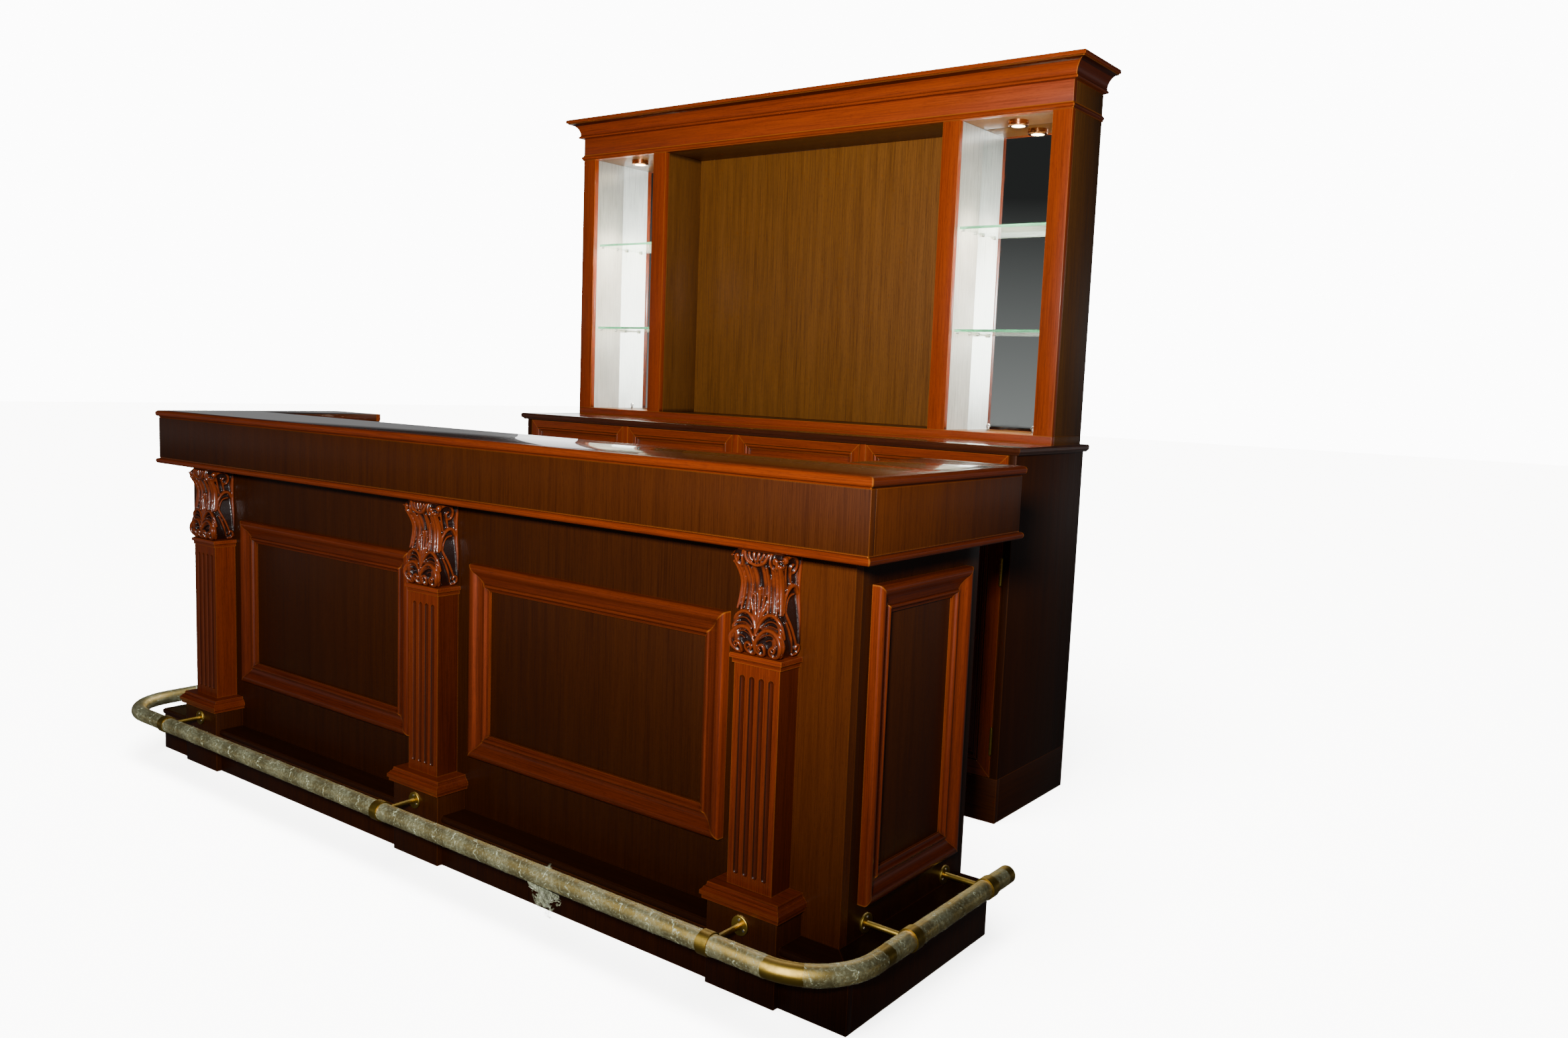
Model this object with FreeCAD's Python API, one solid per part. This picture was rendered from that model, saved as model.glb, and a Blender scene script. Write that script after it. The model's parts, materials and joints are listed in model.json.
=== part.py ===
import FreeCAD, Part
import math
import os

from FreeCAD import Placement, Rotation, Vector

# Home bar in two standing units, all lengths in millimetres.
# The front bar is a raised counter with a foot rail; the back bar is a cabinet with a hutch.
# X runs along the bars, Y from the guests' side to the wall behind, Z up.

# Front bar: overall
bar_length = 2472.0
bar_height = 1070.0
bar_end_depth = 500.0
wall_thickness = 25.0

# Front bar: top boards and their lip
top_thickness = 22.0
top_overhang = 77.0
top_main_depth = 302.0
top_return_width = 260.0
top_return_reach = 54.0
lip_width = 24.0
return_corner_radius = 20.0

# Front bar: apron under the top
apron_board_height = 123.0
apron_board_thickness = 18.0
apron_setback = 7.0
apron_moulding_height = 18.0
apron_moulding_width = 27.0
apron_moulding_proud = 8.0
soffit_thickness = 12.0

# Front bar: framed panels
frame_stick_width = 62.0
frame_stick_height = 24.0
frame_lap = 20.0
inset_panel_thickness = 12.0
front_frame_side_gap = 64.0
front_frame_top_gap = 146.0
front_frame_step_gap = 148.0
side_frame_from_front = 60.0
side_frame_from_back = 62.0
side_frame_top_gap = 57.0
side_frame_step_gap = 72.0

# Front bar: pilasters
pilaster_inset = 182.0
shaft_width = 114.0
shaft_projection = 62.0
flute_count = 4
flute_pitch = 24.0
flute_radius = 8.0
flute_depth = 4.0
flute_end_margin = 22.0
block_side_margin = 32.0
block_proud_of_step = 10.0
block_above_rail = 32.0
block_cap_height = 35.0
block_cap_proud = 12.0
neck_height = 20.0
neck_proud = 8.0
capital_height = 211.0
capital_waist_width = 92.0
capital_side_flare = 16.0
capital_foot_projection = 54.0
capital_front_flare = 26.0
capital_scroll_radius = 13.0
capital_leaf_radius = 19.0

# Front bar: step
step_height = 127.0
step_projection = 74.0
step_board_thickness = 18.0
riser_setback = 4.0

# Front bar: service side
wing_top_margin = 15.0
service_top_margin = 12.0
service_board_thickness = 18.0
service_deck_height = 80.0
service_kick_setback = 40.0
service_bay_count = 3
service_shelf_count = 2

# Foot rail
rail_diameter = 42.0
rail_tube_wall = 1.5
rail_front_rod_reach = 102.0
rail_end_reach = 108.0
rail_bend_radius = 150.0
rail_tail = 12.0
rail_cap_thickness = 4.0
rosette_diameter = 42.0
rosette_thickness = 5.0
rosette_edge_radius = 2.0
rod_diameter = 12.0
collar_width = 26.0
collar_wall = 3.5
rosette_screw_diameter = 5.0
rosette_screw_height = 1.2
rosette_screw_count = 3
side_bracket_front = 94.0
side_bracket_back_margin = 83.0
rosette_lift = 2.0

# Back bar: cabinet
aisle_depth = 645.0
cabinet_width = 2000.0
cabinet_depth = 461.0
cabinet_height = 1079.0
plinth_height = 130.0
plinth_thickness = 18.0
cabinet_board = 22.0
cabinet_inner_board = 18.0
cabinet_back_thickness = 6.0
bay_count = 4
counter_thickness = 22.0
counter_overhang = 18.0
front_gap = 2.4
front_thickness = 20.0
drawer_front_height = 150.0
divider_depth = 70.0
stretcher_depth = 90.0
front_panel_thickness = 8.0
drawer_stick_width = 40.0
door_stick_width = 66.0

# Back bar: drawers
drawer_back_space = 34.0
drawer_box_wall = 12.0
drawer_box_bottom = 6.0
drawer_box_top_space = 38.0
drawer_box_lift = 16.0
runner_thickness = 12.0
runner_height = 34.0
runner_side_gap = 1.0
tongue_height = 18.0
tongue_reach = 6.0
running_gap = 0.3

# Back bar: knobs and hinges
knob_length = 27.0
knob_base_radius = 11.0
knob_neck_radius = 5.0
knob_head_radius = 14.0
knob_base_share = 0.25
knob_waist_share = 0.7
knob_neck_length_share = 0.33
knob_head_flat_share = 0.72
door_knob_top_margin = 107.0
door_knob_edge_share = 0.31
hinge_height = 75.0
hinge_bottom_margin = 107.0
hinge_top_margin = 154.0
hinge_barrel_radius = 4.5
hinge_pin_radius = 1.6
hinge_pin_gap = 0.05
hinge_leaf_thickness = 0.9
hinge_leaf_width = 19.0
hinge_stand_off = 0.5
hinge_knuckle_count = 5
hinge_knuckle_gap = 0.3
hinge_tip_height = 4.0

# Back bar: hutch
total_height = 2182.0
hutch_inset = 12.0
hutch_depth = 212.0
hutch_board = 22.0
post_board = 18.0
face_frame_thickness = 20.0
base_rail_height = 25.0
outer_stile_width = 60.0
inner_stile_width = 59.0
niche_width = 300.0
frieze_height = 79.0
niche_back_space = 27.0
niche_level_count = 3
lining_thickness = 4.0
mirror_thickness = 4.0
mirror_backing_thickness = 12.0
hutch_back_thickness = 14.0
ceiling_thickness = 18.0

# Back bar: glass shelves and lamps
glass_thickness = 8.0
glass_side_gap = 1.0
glass_front_setback = 12.0
clip_diameter = 6.0
clip_length = 9.0
clip_end_margin = 28.0
lamp_diameter = 62.0
lamp_height = 16.0
lamp_rim = 11.0
lens_thickness = 4.0

# Back bar: crown
astragal_height = 20.0
astragal_proud = 7.0
crown_height = 54.0
crown_proud = 44.0
crown_cap_thickness = 12.0
crown_cap_proud = 50.0

cut_overrun = 5.0

# Outlines, as shares of the width (outwards) and height of the piece that carries them.
# Two shares are the end of a line; four are the end of an arc and a point that it passes.
lip_outline_shares = [(0, 0), (0.62, 0), (0.7, 0.16), (1.0, 0.52, 0.93, 0.26),
                      (0.74, 1.0, 0.94, 0.86), (0, 1.0)]
apron_outline_shares = [(0, 0), (0.72, 0), (1.0, 0.42, 0.93, 0.14), (0.78, 0.86, 0.95, 0.72),
                        (0.67, 0.86), (0.67, 1.0), (0, 1.0)]
frame_outline_shares = [(0, 0), (0, 0.62), (0.1, 0.96, 0.03, 0.84), (0.3, 0.9, 0.2, 1.0),
                        (0.36, 0.76), (0.72, 0.42, 0.52, 0.5), (0.74, 0.52),
                        (0.86, 0.5, 0.8, 0.6), (0.9, 0.34), (1.0, 0.22), (1.0, 0)]
front_outline_shares = [(0, 0), (0, 1.0), (0.62, 1.0), (0.66, 0.86), (0.74, 0.94, 0.68, 0.94),
                        (0.86, 0.66, 0.84, 0.86), (0.88, 0.58), (1.0, 0.5, 0.96, 0.58), (1.0, 0)]
tread_outline_shares = [(0, 0), (0.94, 0), (0.94, 1.0, 1.0, 0.5), (0, 1.0)]
cap_outline_shares = [(0.7, 0), (0.7, 0.2), (1.0, 0.26), (1.0, 0.5), (0.62, 0.62), (0.5, 0.72),
                      (0.1, 0.94, 0.22, 0.78), (0, 1.0)]
neck_outline_shares = [(0.45, 0), (0.45, 0.42), (1.0, 0.52), (1.0, 0.86), (0.8, 1.0)]
counter_outline_shares = [(-0.1, 0), (0.55, 0), (0.7, 0.18), (1.0, 0.58, 0.96, 0.34),
                          (0.62, 1.0, 0.92, 0.9)]
astragal_outline_shares = [(0, 0), (0.5, 0), (0.5, 0.2), (0.5, 0.72, 1.0, 0.46), (0.3, 0.8),
                           (0, 1.0)]
crown_outline_shares = [(0, 0), (0.08, 0), (0.24, 0.03), (0.3, 0.17, 0.36, 0.1), (0.24, 0.22),
                        (0.78, 0.94, 0.38, 0.66), (1.0, 0.94), (1.0, 1.0), (0, 1.0)]
crown_cap_outline_shares = [(0.94, 0), (1.0, 0.4, 1.0, 0.16), (1.0, 0.84), (0.96, 1.0)]
capital_front_outline_shares = [(0.1, 0), (0.62, 0.2, 0.62, 0.06), (0.25, 0.5, 0.5, 0.36),
                                (0.2, 0.66, 0.18, 0.58), (0.8, 0.86, 0.42, 0.8), (0.8, 1.0)]
capital_side_outline_shares = [(0.35, 0), (1.0, 0.2, 0.86, 0.06), (0.3, 0.55, 0.78, 0.38),
                               (0.3, 0.74), (0.8, 0.88, 0.42, 0.84), (0.8, 1.0)]

# Places worked out from the sizes above
bar_half = bar_length / 2
pilaster_spacing = bar_half - pilaster_inset
pilaster_centres = [-pilaster_spacing, 0, pilaster_spacing]
top_underside = bar_height - top_thickness
apron_bottom = top_underside - apron_board_height - apron_moulding_height
apron_face = top_overhang - apron_setback
shaft_top = apron_bottom - capital_height - neck_height
rail_height = step_height + rosette_lift + rosette_diameter / 2
block_height = rail_height + block_above_rail
block_width = shaft_width + 2 * block_side_margin
block_projection = step_projection + block_proud_of_step
front_frame_width = pilaster_spacing - shaft_width - 2 * front_frame_side_gap
front_frame_bottom = step_height + front_frame_step_gap
front_frame_height = apron_bottom - front_frame_top_gap - front_frame_bottom
side_frame_width = bar_end_depth - side_frame_from_front - side_frame_from_back
side_frame_bottom = step_height + side_frame_step_gap
side_frame_height = apron_bottom - side_frame_top_gap - side_frame_bottom
wing_width = top_return_width - top_overhang - wing_top_margin
service_depth = top_main_depth - top_overhang - service_top_margin
rail_front_reach = block_projection + rail_front_rod_reach
side_bracket_back = bar_end_depth - side_bracket_back_margin
cabinet_half = cabinet_width / 2
hutch_half = cabinet_half - hutch_inset
front_reach = rail_front_reach + rail_diameter / 2 + collar_wall
depth_behind_wall = bar_end_depth + aisle_depth + cabinet_depth
wall_y = front_reach - (front_reach + depth_behind_wall) / 2
bar_end_y = wall_y + bar_end_depth
return_end_y = bar_end_y + top_return_reach
cabinet_y = bar_end_y + aisle_depth
rear_y = cabinet_y + cabinet_depth
hutch_y = rear_y - hutch_depth
carcass_top = cabinet_height - counter_thickness
bay_width = (cabinet_width - 2 * cabinet_board - (bay_count - 1) * cabinet_board) / bay_count
deck_top = plinth_height + cabinet_inner_board
front_width = bay_width - 2 * front_gap
drawer_front_bottom = carcass_top - front_gap - drawer_front_height
drawer_box_height = drawer_front_height - drawer_box_lift - drawer_box_top_space
drawer_box_depth = (cabinet_depth - front_thickness - cabinet_back_thickness
                    - drawer_back_space)
divider_top = drawer_front_bottom - front_gap
divider_bottom = divider_top - cabinet_inner_board
door_bottom = plinth_height + front_gap
door_top = divider_bottom - front_gap
door_height = door_top - door_bottom
hinge_centres = [door_bottom + hinge_bottom_margin, door_top - hinge_top_margin]
crown_cap_bottom = total_height - crown_cap_thickness
crown_bottom = crown_cap_bottom - crown_height
niche_floor = cabinet_height + base_rail_height
niche_top = crown_bottom - frieze_height
niche_height = niche_top - niche_floor
niche_depth = (hutch_depth - hutch_back_thickness - niche_back_space
               - mirror_backing_thickness - mirror_thickness)
niche_outer_x = hutch_half - outer_stile_width
niche_inner_x = niche_outer_x - niche_width
centre_half = niche_inner_x - inner_stile_width


def box(x0, x1, y0, y1, z0, z1):
    """A board between two corners."""
    return Part.makeBox(x1 - x0, y1 - y0, z1 - z0, Vector(x0, y0, z0))


def mirrored(shape):
    """The same piece on the other end of the bar."""
    return shape.mirror(Vector(0, 0, 0), Vector(1, 0, 0))


def both_ends(shapes):
    """A list of pieces together with their mirror images."""
    return shapes + [mirrored(shape) for shape in shapes]


def save(name, shapes):
    """Write one sub-part as a STEP file."""
    path = os.path.join("parts", name + ".step")
    Part.makeCompound(shapes).exportStep(path)


def outline_edges(shares, across, up, origin=0):
    """Edges of an open outline in the plane x = 0, from its shares."""
    edges = []
    last = None
    for entry in shares:
        point = Vector(0, origin + across * entry[0], up * entry[1])
        if last is not None and len(entry) == 4:
            middle = Vector(0, origin + across * entry[2], up * entry[3])
            edges.append(Part.Arc(last, middle, point).toShape())
        elif last is not None:
            edges.append(Part.makeLine(last, point))
        last = point
    return edges


def outline_face(shares, across, up):
    """Closed face of an outline that starts and ends on its base."""
    edges = outline_edges(shares, across, up)
    start = edges[0].Vertexes[0].Point
    end = edges[-1].Vertexes[-1].Point
    if end.sub(start).Length > 0:
        edges.append(Part.makeLine(end, start))
    return Part.Face(Part.Wire(edges))


def mitre_wedge(width, side):
    """What a mitre takes off the start of a stick; side is 1 outwards, -1 inwards, 0 square."""
    far = 3 * width
    low = -cut_overrun
    high = width + cut_overrun
    corners = [Vector(-side * low, low, -far), Vector(-side * high, high, -far),
               Vector(-far, high, -far), Vector(-far, low, -far)]
    face = Part.Face(Part.makePolygon(corners + [corners[0]]))
    return face.extrude(Vector(0, 0, 2 * far))


def stick(shares, width, height, length, start=0, end=0):
    """A moulding along X with its outline across Y and Z, mitred or square at its ends."""
    reach = width
    body = outline_face(shares, width, height).extrude(Vector(length + 2 * reach, 0, 0))
    body.translate(Vector(-reach, 0, 0))
    tail = mitre_wedge(width, end).mirror(Vector(length / 2, 0, 0), Vector(1, 0, 0))
    return body.cut(mitre_wedge(width, start)).cut(tail)


def placed(shape, x, y, z, rotation):
    """A copy of a shape, turned about its own origin and then set in place."""
    copy = shape.copy()
    copy.Placement = Placement(Vector(x, y, z), rotation).multiply(copy.Placement)
    return copy


about_z = Vector(0, 0, 1)
face_front = Rotation(Vector(1, 0, 0), 90)
face_right = Rotation(Vector(1, 1, 1), 120)


def frame_sticks(shares, stick_width, stick_height, width, height):
    """Four mitred sticks of a picture frame that lies in the XY plane."""
    along = stick(shares, stick_width, stick_height, width, -1, -1)
    across = stick(shares, stick_width, stick_height, height, -1, -1)
    return [placed(along, 0, 0, 0, Rotation(about_z, 0)),
            placed(across, width, 0, 0, Rotation(about_z, 90)),
            placed(along, width, height, 0, Rotation(about_z, 180)),
            placed(across, 0, height, 0, Rotation(about_z, 270))]


def region(shares, base, proud, height, far):
    """Everything inside one moulded side: its outline faces +X and runs along Y."""
    edges = outline_edges(shares, proud, height, base)
    start = edges[0].Vertexes[0].Point
    end = edges[-1].Vertexes[-1].Point
    corner_low = Vector(0, -far, start.z)
    corner_high = Vector(0, -far, end.z)
    edges.append(Part.makeLine(end, corner_high))
    edges.append(Part.makeLine(corner_high, corner_low))
    edges.append(Part.makeLine(corner_low, start))
    solid = Part.Face(Part.Wire(edges)).extrude(Vector(2 * far, 0, 0))
    solid.translate(Vector(-far, 0, 0))
    return solid.rotate(Vector(0, 0, 0), about_z, -90)


def moulded_block(side_shares, front_shares, half_width, depth, side_proud, front_proud, height):
    """A block moulded on its two ends and its front, with its flat back on y = 0."""
    far = 2 * (half_width + depth + height)
    right = region(side_shares, half_width, side_proud, height, far)
    left = mirrored(right)
    front = region(front_shares, depth, front_proud, height, far)
    front.rotate(Vector(0, 0, 0), about_z, -90)
    back = box(-far, far, -far, 0, -far, far)
    return right.common(left).common(front).common(back)


def bar_edge(shares, width, height, face_x, face_y, end_y, inner_x, z):
    """A moulding round the front, both ends and both return ends of the bar."""
    length = 2 * face_x
    depth = end_y - face_y
    front = placed(stick(shares, width, height, length, 1, 1), face_x, face_y, z,
                   Rotation(about_z, 180))
    side = placed(stick(shares, width, height, depth, 1, 1), face_x, end_y, z,
                  Rotation(about_z, -90))
    tail = placed(stick(shares, width, height, face_x - inner_x, 0, 1), inner_x, end_y, z,
                  Rotation(about_z, 0))
    return [front] + both_ends([side, tail])


# Front bar

def build_bar_top():
    """The core boards of the top: one along the front and one return at each end."""
    x_out = bar_half + top_overhang - lip_width
    x_in = bar_half + top_overhang - top_return_width
    y_front = wall_y - top_overhang + lip_width
    y_back = wall_y - top_overhang + top_main_depth
    y_end = return_end_y - lip_width
    main = box(-x_out, x_out, y_front, y_back, top_underside, bar_height)
    side = box(x_in, x_out, y_back, y_end, top_underside, bar_height)
    save("bar_top", [main] + both_ends([side]))


def build_top_lip():
    """The solid rounded lip round the guests' side of the top."""
    x_out = bar_half + top_overhang - lip_width
    x_in = bar_half + top_overhang - top_return_width
    y_front = wall_y - top_overhang + lip_width
    y_end = return_end_y - lip_width
    sticks = bar_edge(lip_outline_shares, lip_width, top_thickness, x_out, y_front, y_end, x_in,
                      top_underside)
    corner = box(x_in, x_in + return_corner_radius, return_end_y - return_corner_radius,
                 return_end_y + cut_overrun, top_underside - cut_overrun, bar_height + cut_overrun)
    post = Part.makeCylinder(return_corner_radius, top_thickness + 2 * cut_overrun,
                             Vector(x_in + return_corner_radius,
                                    return_end_y - return_corner_radius,
                                    top_underside - cut_overrun))
    corner = corner.cut(post)
    rounded = []
    for piece in sticks:
        rounded.append(piece.cut(corner).cut(mirrored(corner)))
    save("top_lip", rounded)


def build_apron():
    """The deep plain apron boards under the top, and the boards that close them from below."""
    z_low = apron_bottom + apron_moulding_height
    x_out = bar_half + apron_face
    x_in = x_out - apron_board_thickness
    y_out = wall_y - apron_face
    y_in = y_out + apron_board_thickness
    y_end = return_end_y - apron_setback
    x_return = bar_half + top_overhang - top_return_width + apron_setback
    front = box(-x_out, x_out, y_out, y_in, z_low, top_underside)
    side = box(x_in, x_out, y_in, y_end, z_low, top_underside)
    end = box(x_return, x_in, y_end - apron_board_thickness, y_end, z_low, top_underside)
    z_soffit = z_low + soffit_thickness
    front_soffit = box(-x_in, x_in, y_in, wall_y, z_low, z_soffit)
    side_soffit = box(bar_half, x_in, wall_y, bar_end_y, z_low, z_soffit)
    save("apron_boards", [front, front_soffit] + both_ends([side, end, side_soffit]))


def build_apron_moulding():
    """The rounded moulding along the foot of the apron."""
    base = apron_face + apron_moulding_proud - apron_moulding_width
    x_base = bar_half + base
    y_base = wall_y - base
    y_end = return_end_y - apron_setback + apron_moulding_proud - apron_moulding_width
    x_return = bar_half + top_overhang - top_return_width + apron_setback
    sticks = bar_edge(apron_outline_shares, apron_moulding_width, apron_moulding_height, x_base,
                      y_base, y_end, x_return, apron_bottom)
    save("apron_moulding", sticks)


def front_frame_left_edges():
    """The left edge of each of the two front frames, midway between the pilasters."""
    middle = pilaster_spacing / 2
    return [-middle - front_frame_width / 2, middle - front_frame_width / 2]


def build_front_wall():
    """The front wall with a window for each inset panel."""
    wall = box(-bar_half, bar_half, wall_y, wall_y + wall_thickness, 0, top_underside)
    for edge in front_frame_left_edges():
        window = box(edge + frame_lap, edge + front_frame_width - frame_lap,
                     wall_y - cut_overrun, wall_y + wall_thickness + cut_overrun,
                     front_frame_bottom + frame_lap,
                     front_frame_bottom + front_frame_height - frame_lap)
        wall = wall.cut(window)
    save("front_wall", [wall])


def side_window(thickness, overrun):
    """The opening in an end wall, or the panel that fills it."""
    low = wall_y + side_frame_from_front + frame_lap
    high = wall_y + side_frame_from_front + side_frame_width - frame_lap
    return box(bar_half - thickness - overrun, bar_half + overrun, low, high,
               side_frame_bottom + frame_lap, side_frame_bottom + side_frame_height - frame_lap)


def build_side_walls():
    """The two end walls of the bar."""
    wall = box(bar_half - wall_thickness, bar_half, wall_y + wall_thickness, bar_end_y, 0,
               top_underside)
    wall = wall.cut(side_window(wall_thickness, cut_overrun))
    save("side_walls", both_ends([wall]))


def build_inset_panels():
    """The flat panels inside the frames, flush with the walls."""
    panels = []
    for edge in front_frame_left_edges():
        panels.append(box(edge + frame_lap, edge + front_frame_width - frame_lap, wall_y,
                          wall_y + inset_panel_thickness, front_frame_bottom + frame_lap,
                          front_frame_bottom + front_frame_height - frame_lap))
    save("inset_panels", panels + both_ends([side_window(inset_panel_thickness, 0)]))


def build_front_frames():
    """The two mitred frames on the front wall."""
    local = frame_sticks(frame_outline_shares, frame_stick_width, frame_stick_height,
                         front_frame_width, front_frame_height)
    sticks = []
    for edge in front_frame_left_edges():
        for piece in local:
            sticks.append(placed(piece, edge, wall_y, front_frame_bottom, face_front))
    save("front_frames", sticks)


def build_side_frames():
    """The mitred frame on each end wall."""
    local = frame_sticks(frame_outline_shares, frame_stick_width, frame_stick_height,
                         side_frame_width, side_frame_height)
    y_low = wall_y + side_frame_from_front
    sticks = [placed(piece, bar_half, y_low, side_frame_bottom, face_right) for piece in local]
    save("side_frames", both_ends(sticks))


def flute(x, y, z_low, z_high):
    """One rounded groove with round ends."""
    groove = Part.makeCylinder(flute_radius, z_high - z_low, Vector(x, y, z_low))
    low_end = Part.makeSphere(flute_radius, Vector(x, y, z_low))
    high_end = Part.makeSphere(flute_radius, Vector(x, y, z_high))
    return groove.fuse(low_end).fuse(high_end)


def build_pilaster_shafts():
    """The three fluted shafts."""
    z_low = block_height + block_cap_height
    shafts = []
    for centre in pilaster_centres:
        front = wall_y - shaft_projection
        shaft = box(centre - shaft_width / 2, centre + shaft_width / 2, front, wall_y, z_low,
                    shaft_top)
        axis = front + flute_depth - flute_radius
        first = centre - flute_pitch * (flute_count - 1) / 2
        for number in range(flute_count):
            shaft = shaft.cut(flute(first + number * flute_pitch, axis,
                                    z_low + flute_end_margin + flute_radius,
                                    shaft_top - flute_end_margin - flute_radius))
        shafts.append(shaft)
    save("pilaster_shafts", shafts)


def build_neck_mouldings():
    """The stepped moulding between each shaft and its capital."""
    block = moulded_block(neck_outline_shares, neck_outline_shares, shaft_width / 2,
                          shaft_projection, neck_proud, neck_proud, neck_height)
    necks = []
    for centre in pilaster_centres:
        necks.append(placed(block, centre, wall_y, shaft_top, Rotation()))
    save("neck_mouldings", necks)


def scroll(radius, half_length, y, z):
    """A roll that lies along X, for the scrolls of a capital."""
    return Part.makeCylinder(radius, 2 * half_length, Vector(-half_length, y, z),
                             Vector(1, 0, 0))


def build_capitals():
    """The carved capitals in their main form: a flared bracket with scrolls at top and foot."""
    z_low = shaft_top + neck_height
    height = apron_bottom - z_low
    waist = capital_waist_width / 2
    body = moulded_block(capital_side_outline_shares, capital_front_outline_shares, waist,
                         capital_foot_projection, capital_side_flare, capital_front_flare, height)
    top_front = capital_foot_projection + capital_front_flare
    upper_roll = scroll(capital_scroll_radius, waist + capital_side_flare,
                        capital_scroll_radius - top_front, height - capital_scroll_radius)
    leaf_front = capital_foot_projection + capital_leaf_radius
    lower_roll = scroll(capital_leaf_radius, waist + capital_side_flare / 2,
                        capital_leaf_radius - leaf_front, 2 * capital_leaf_radius)
    capital = body.fuse(upper_roll).fuse(lower_roll)
    capitals = []
    for centre in pilaster_centres:
        capitals.append(placed(capital, centre, wall_y, z_low, Rotation()))
    save("capitals", capitals)


def build_plinth_blocks():
    """The plain block under each pilaster, which runs down to the floor."""
    blocks = []
    for centre in pilaster_centres:
        blocks.append(box(centre - block_width / 2, centre + block_width / 2,
                          wall_y - block_projection, wall_y, 0, block_height))
    save("plinth_blocks", blocks)


def build_block_caps():
    """The moulded cap on each block."""
    block = moulded_block(cap_outline_shares, cap_outline_shares, block_width / 2,
                          block_projection, block_cap_proud, block_cap_proud, block_cap_height)
    caps = []
    for centre in pilaster_centres:
        caps.append(placed(block, centre, wall_y, block_height, Rotation()))
    save("block_caps", caps)


def front_gaps_between_blocks():
    """The stretches of the front between two neighbouring blocks."""
    gaps = []
    for left, right in zip(pilaster_centres[:-1], pilaster_centres[1:]):
        gaps.append((left + block_width / 2, right - block_width / 2))
    return gaps


def build_step_risers():
    """The upright boards of the step, between the blocks and round both ends."""
    top = step_height - step_board_thickness
    out = step_projection - riser_setback
    y_out = wall_y - out
    y_in = y_out + step_board_thickness
    x_block = pilaster_spacing + block_width / 2
    x_out = bar_half + out
    x_in = x_out - step_board_thickness
    risers = [box(low, high, y_out, y_in, 0, top) for low, high in front_gaps_between_blocks()]
    corner = box(x_block, x_out, y_out, y_in, 0, top)
    side = box(x_in, x_out, y_in, bar_end_y, 0, top)
    closer = box(bar_half, x_in, bar_end_y - step_board_thickness, bar_end_y, 0, top)
    save("step_risers", risers + both_ends([corner, side, closer]))


def build_step_treads():
    """The treads of the step with their rounded nosing, mitred at the corners."""
    z_low = step_height - step_board_thickness
    treads = []
    for low, high in front_gaps_between_blocks():
        board = stick(tread_outline_shares, step_projection, step_board_thickness, high - low)
        treads.append(placed(board, high, wall_y, z_low, Rotation(about_z, 180)))
    corner_length = bar_half - pilaster_spacing - block_width / 2
    corner = stick(tread_outline_shares, step_projection, step_board_thickness, corner_length,
                   1, 0)
    corner = placed(corner, bar_half, wall_y, z_low, Rotation(about_z, 180))
    side = stick(tread_outline_shares, step_projection, step_board_thickness, bar_end_depth,
                 0, 1)
    side = placed(side, bar_half, bar_end_y, z_low, Rotation(about_z, -90))
    save("step_treads", treads + both_ends([corner, side]))


def build_wing_panels():
    """The inner side and the back end of the hollow wing at each end of the bar."""
    x_in = bar_half - wing_width
    x_face = x_in + service_board_thickness
    y_low = wall_y + wall_thickness
    inner = box(x_in, x_face, y_low, bar_end_y, 0, top_underside)
    end = box(x_face, bar_half - wall_thickness, bar_end_y - service_board_thickness, bar_end_y,
              0, top_underside)
    save("wing_panels", both_ends([inner, end]))


def service_uprights():
    """Left faces of the uprights that part the service side into equal bays."""
    clear = 2 * (bar_half - wing_width)
    pitch = (clear + service_board_thickness) / service_bay_count
    first = -clear / 2 - service_board_thickness
    return [first + number * pitch for number in range(service_bay_count + 1)]


def build_service_shelving():
    """Deck, kick board, uprights and shelves on the bartender's side."""
    x_wing = bar_half - wing_width
    y_low = wall_y + wall_thickness
    y_high = wall_y + service_depth
    deck_top_z = service_deck_height + service_board_thickness
    boards = [box(-x_wing, x_wing, y_low, y_high, service_deck_height, deck_top_z)]
    y_kick = y_high - service_kick_setback
    boards.append(box(-x_wing, x_wing, y_kick - service_board_thickness, y_kick, 0,
                      service_deck_height))
    faces = service_uprights()
    for face in faces[1:-1]:
        boards.append(box(face, face + service_board_thickness, y_low, y_high, deck_top_z,
                          top_underside))
    level = (top_underside - deck_top_z) / (service_shelf_count + 1)
    for left, right in zip(faces[:-1], faces[1:]):
        for number in range(service_shelf_count):
            z = deck_top_z + (number + 1) * level
            boards.append(box(left + service_board_thickness, right, y_low, y_high,
                              z - service_board_thickness, z))
    save("service_shelving", boards)


# Foot rail

def rail_path(radius):
    """Centre line of the foot rail, as a wire from one tail to the other."""
    x = bar_half + rail_end_reach
    y_front = wall_y - rail_front_reach
    y_tail = bar_end_y + rail_tail
    drop = radius * (1 - math.cos(math.pi / 4))
    tail_left = Vector(-x, y_tail, rail_height)
    bend_left_top = Vector(-x, y_front + radius, rail_height)
    bend_left_middle = Vector(-x + drop, y_front + drop, rail_height)
    bend_left_low = Vector(-x + radius, y_front, rail_height)
    bend_right_low = Vector(x - radius, y_front, rail_height)
    bend_right_middle = Vector(x - drop, y_front + drop, rail_height)
    bend_right_top = Vector(x, y_front + radius, rail_height)
    tail_right = Vector(x, y_tail, rail_height)
    return Part.Wire([Part.makeLine(tail_left, bend_left_top),
                      Part.Arc(bend_left_top, bend_left_middle, bend_left_low).toShape(),
                      Part.makeLine(bend_left_low, bend_right_low),
                      Part.Arc(bend_right_low, bend_right_middle, bend_right_top).toShape(),
                      Part.makeLine(bend_right_top, tail_right)])


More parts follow.
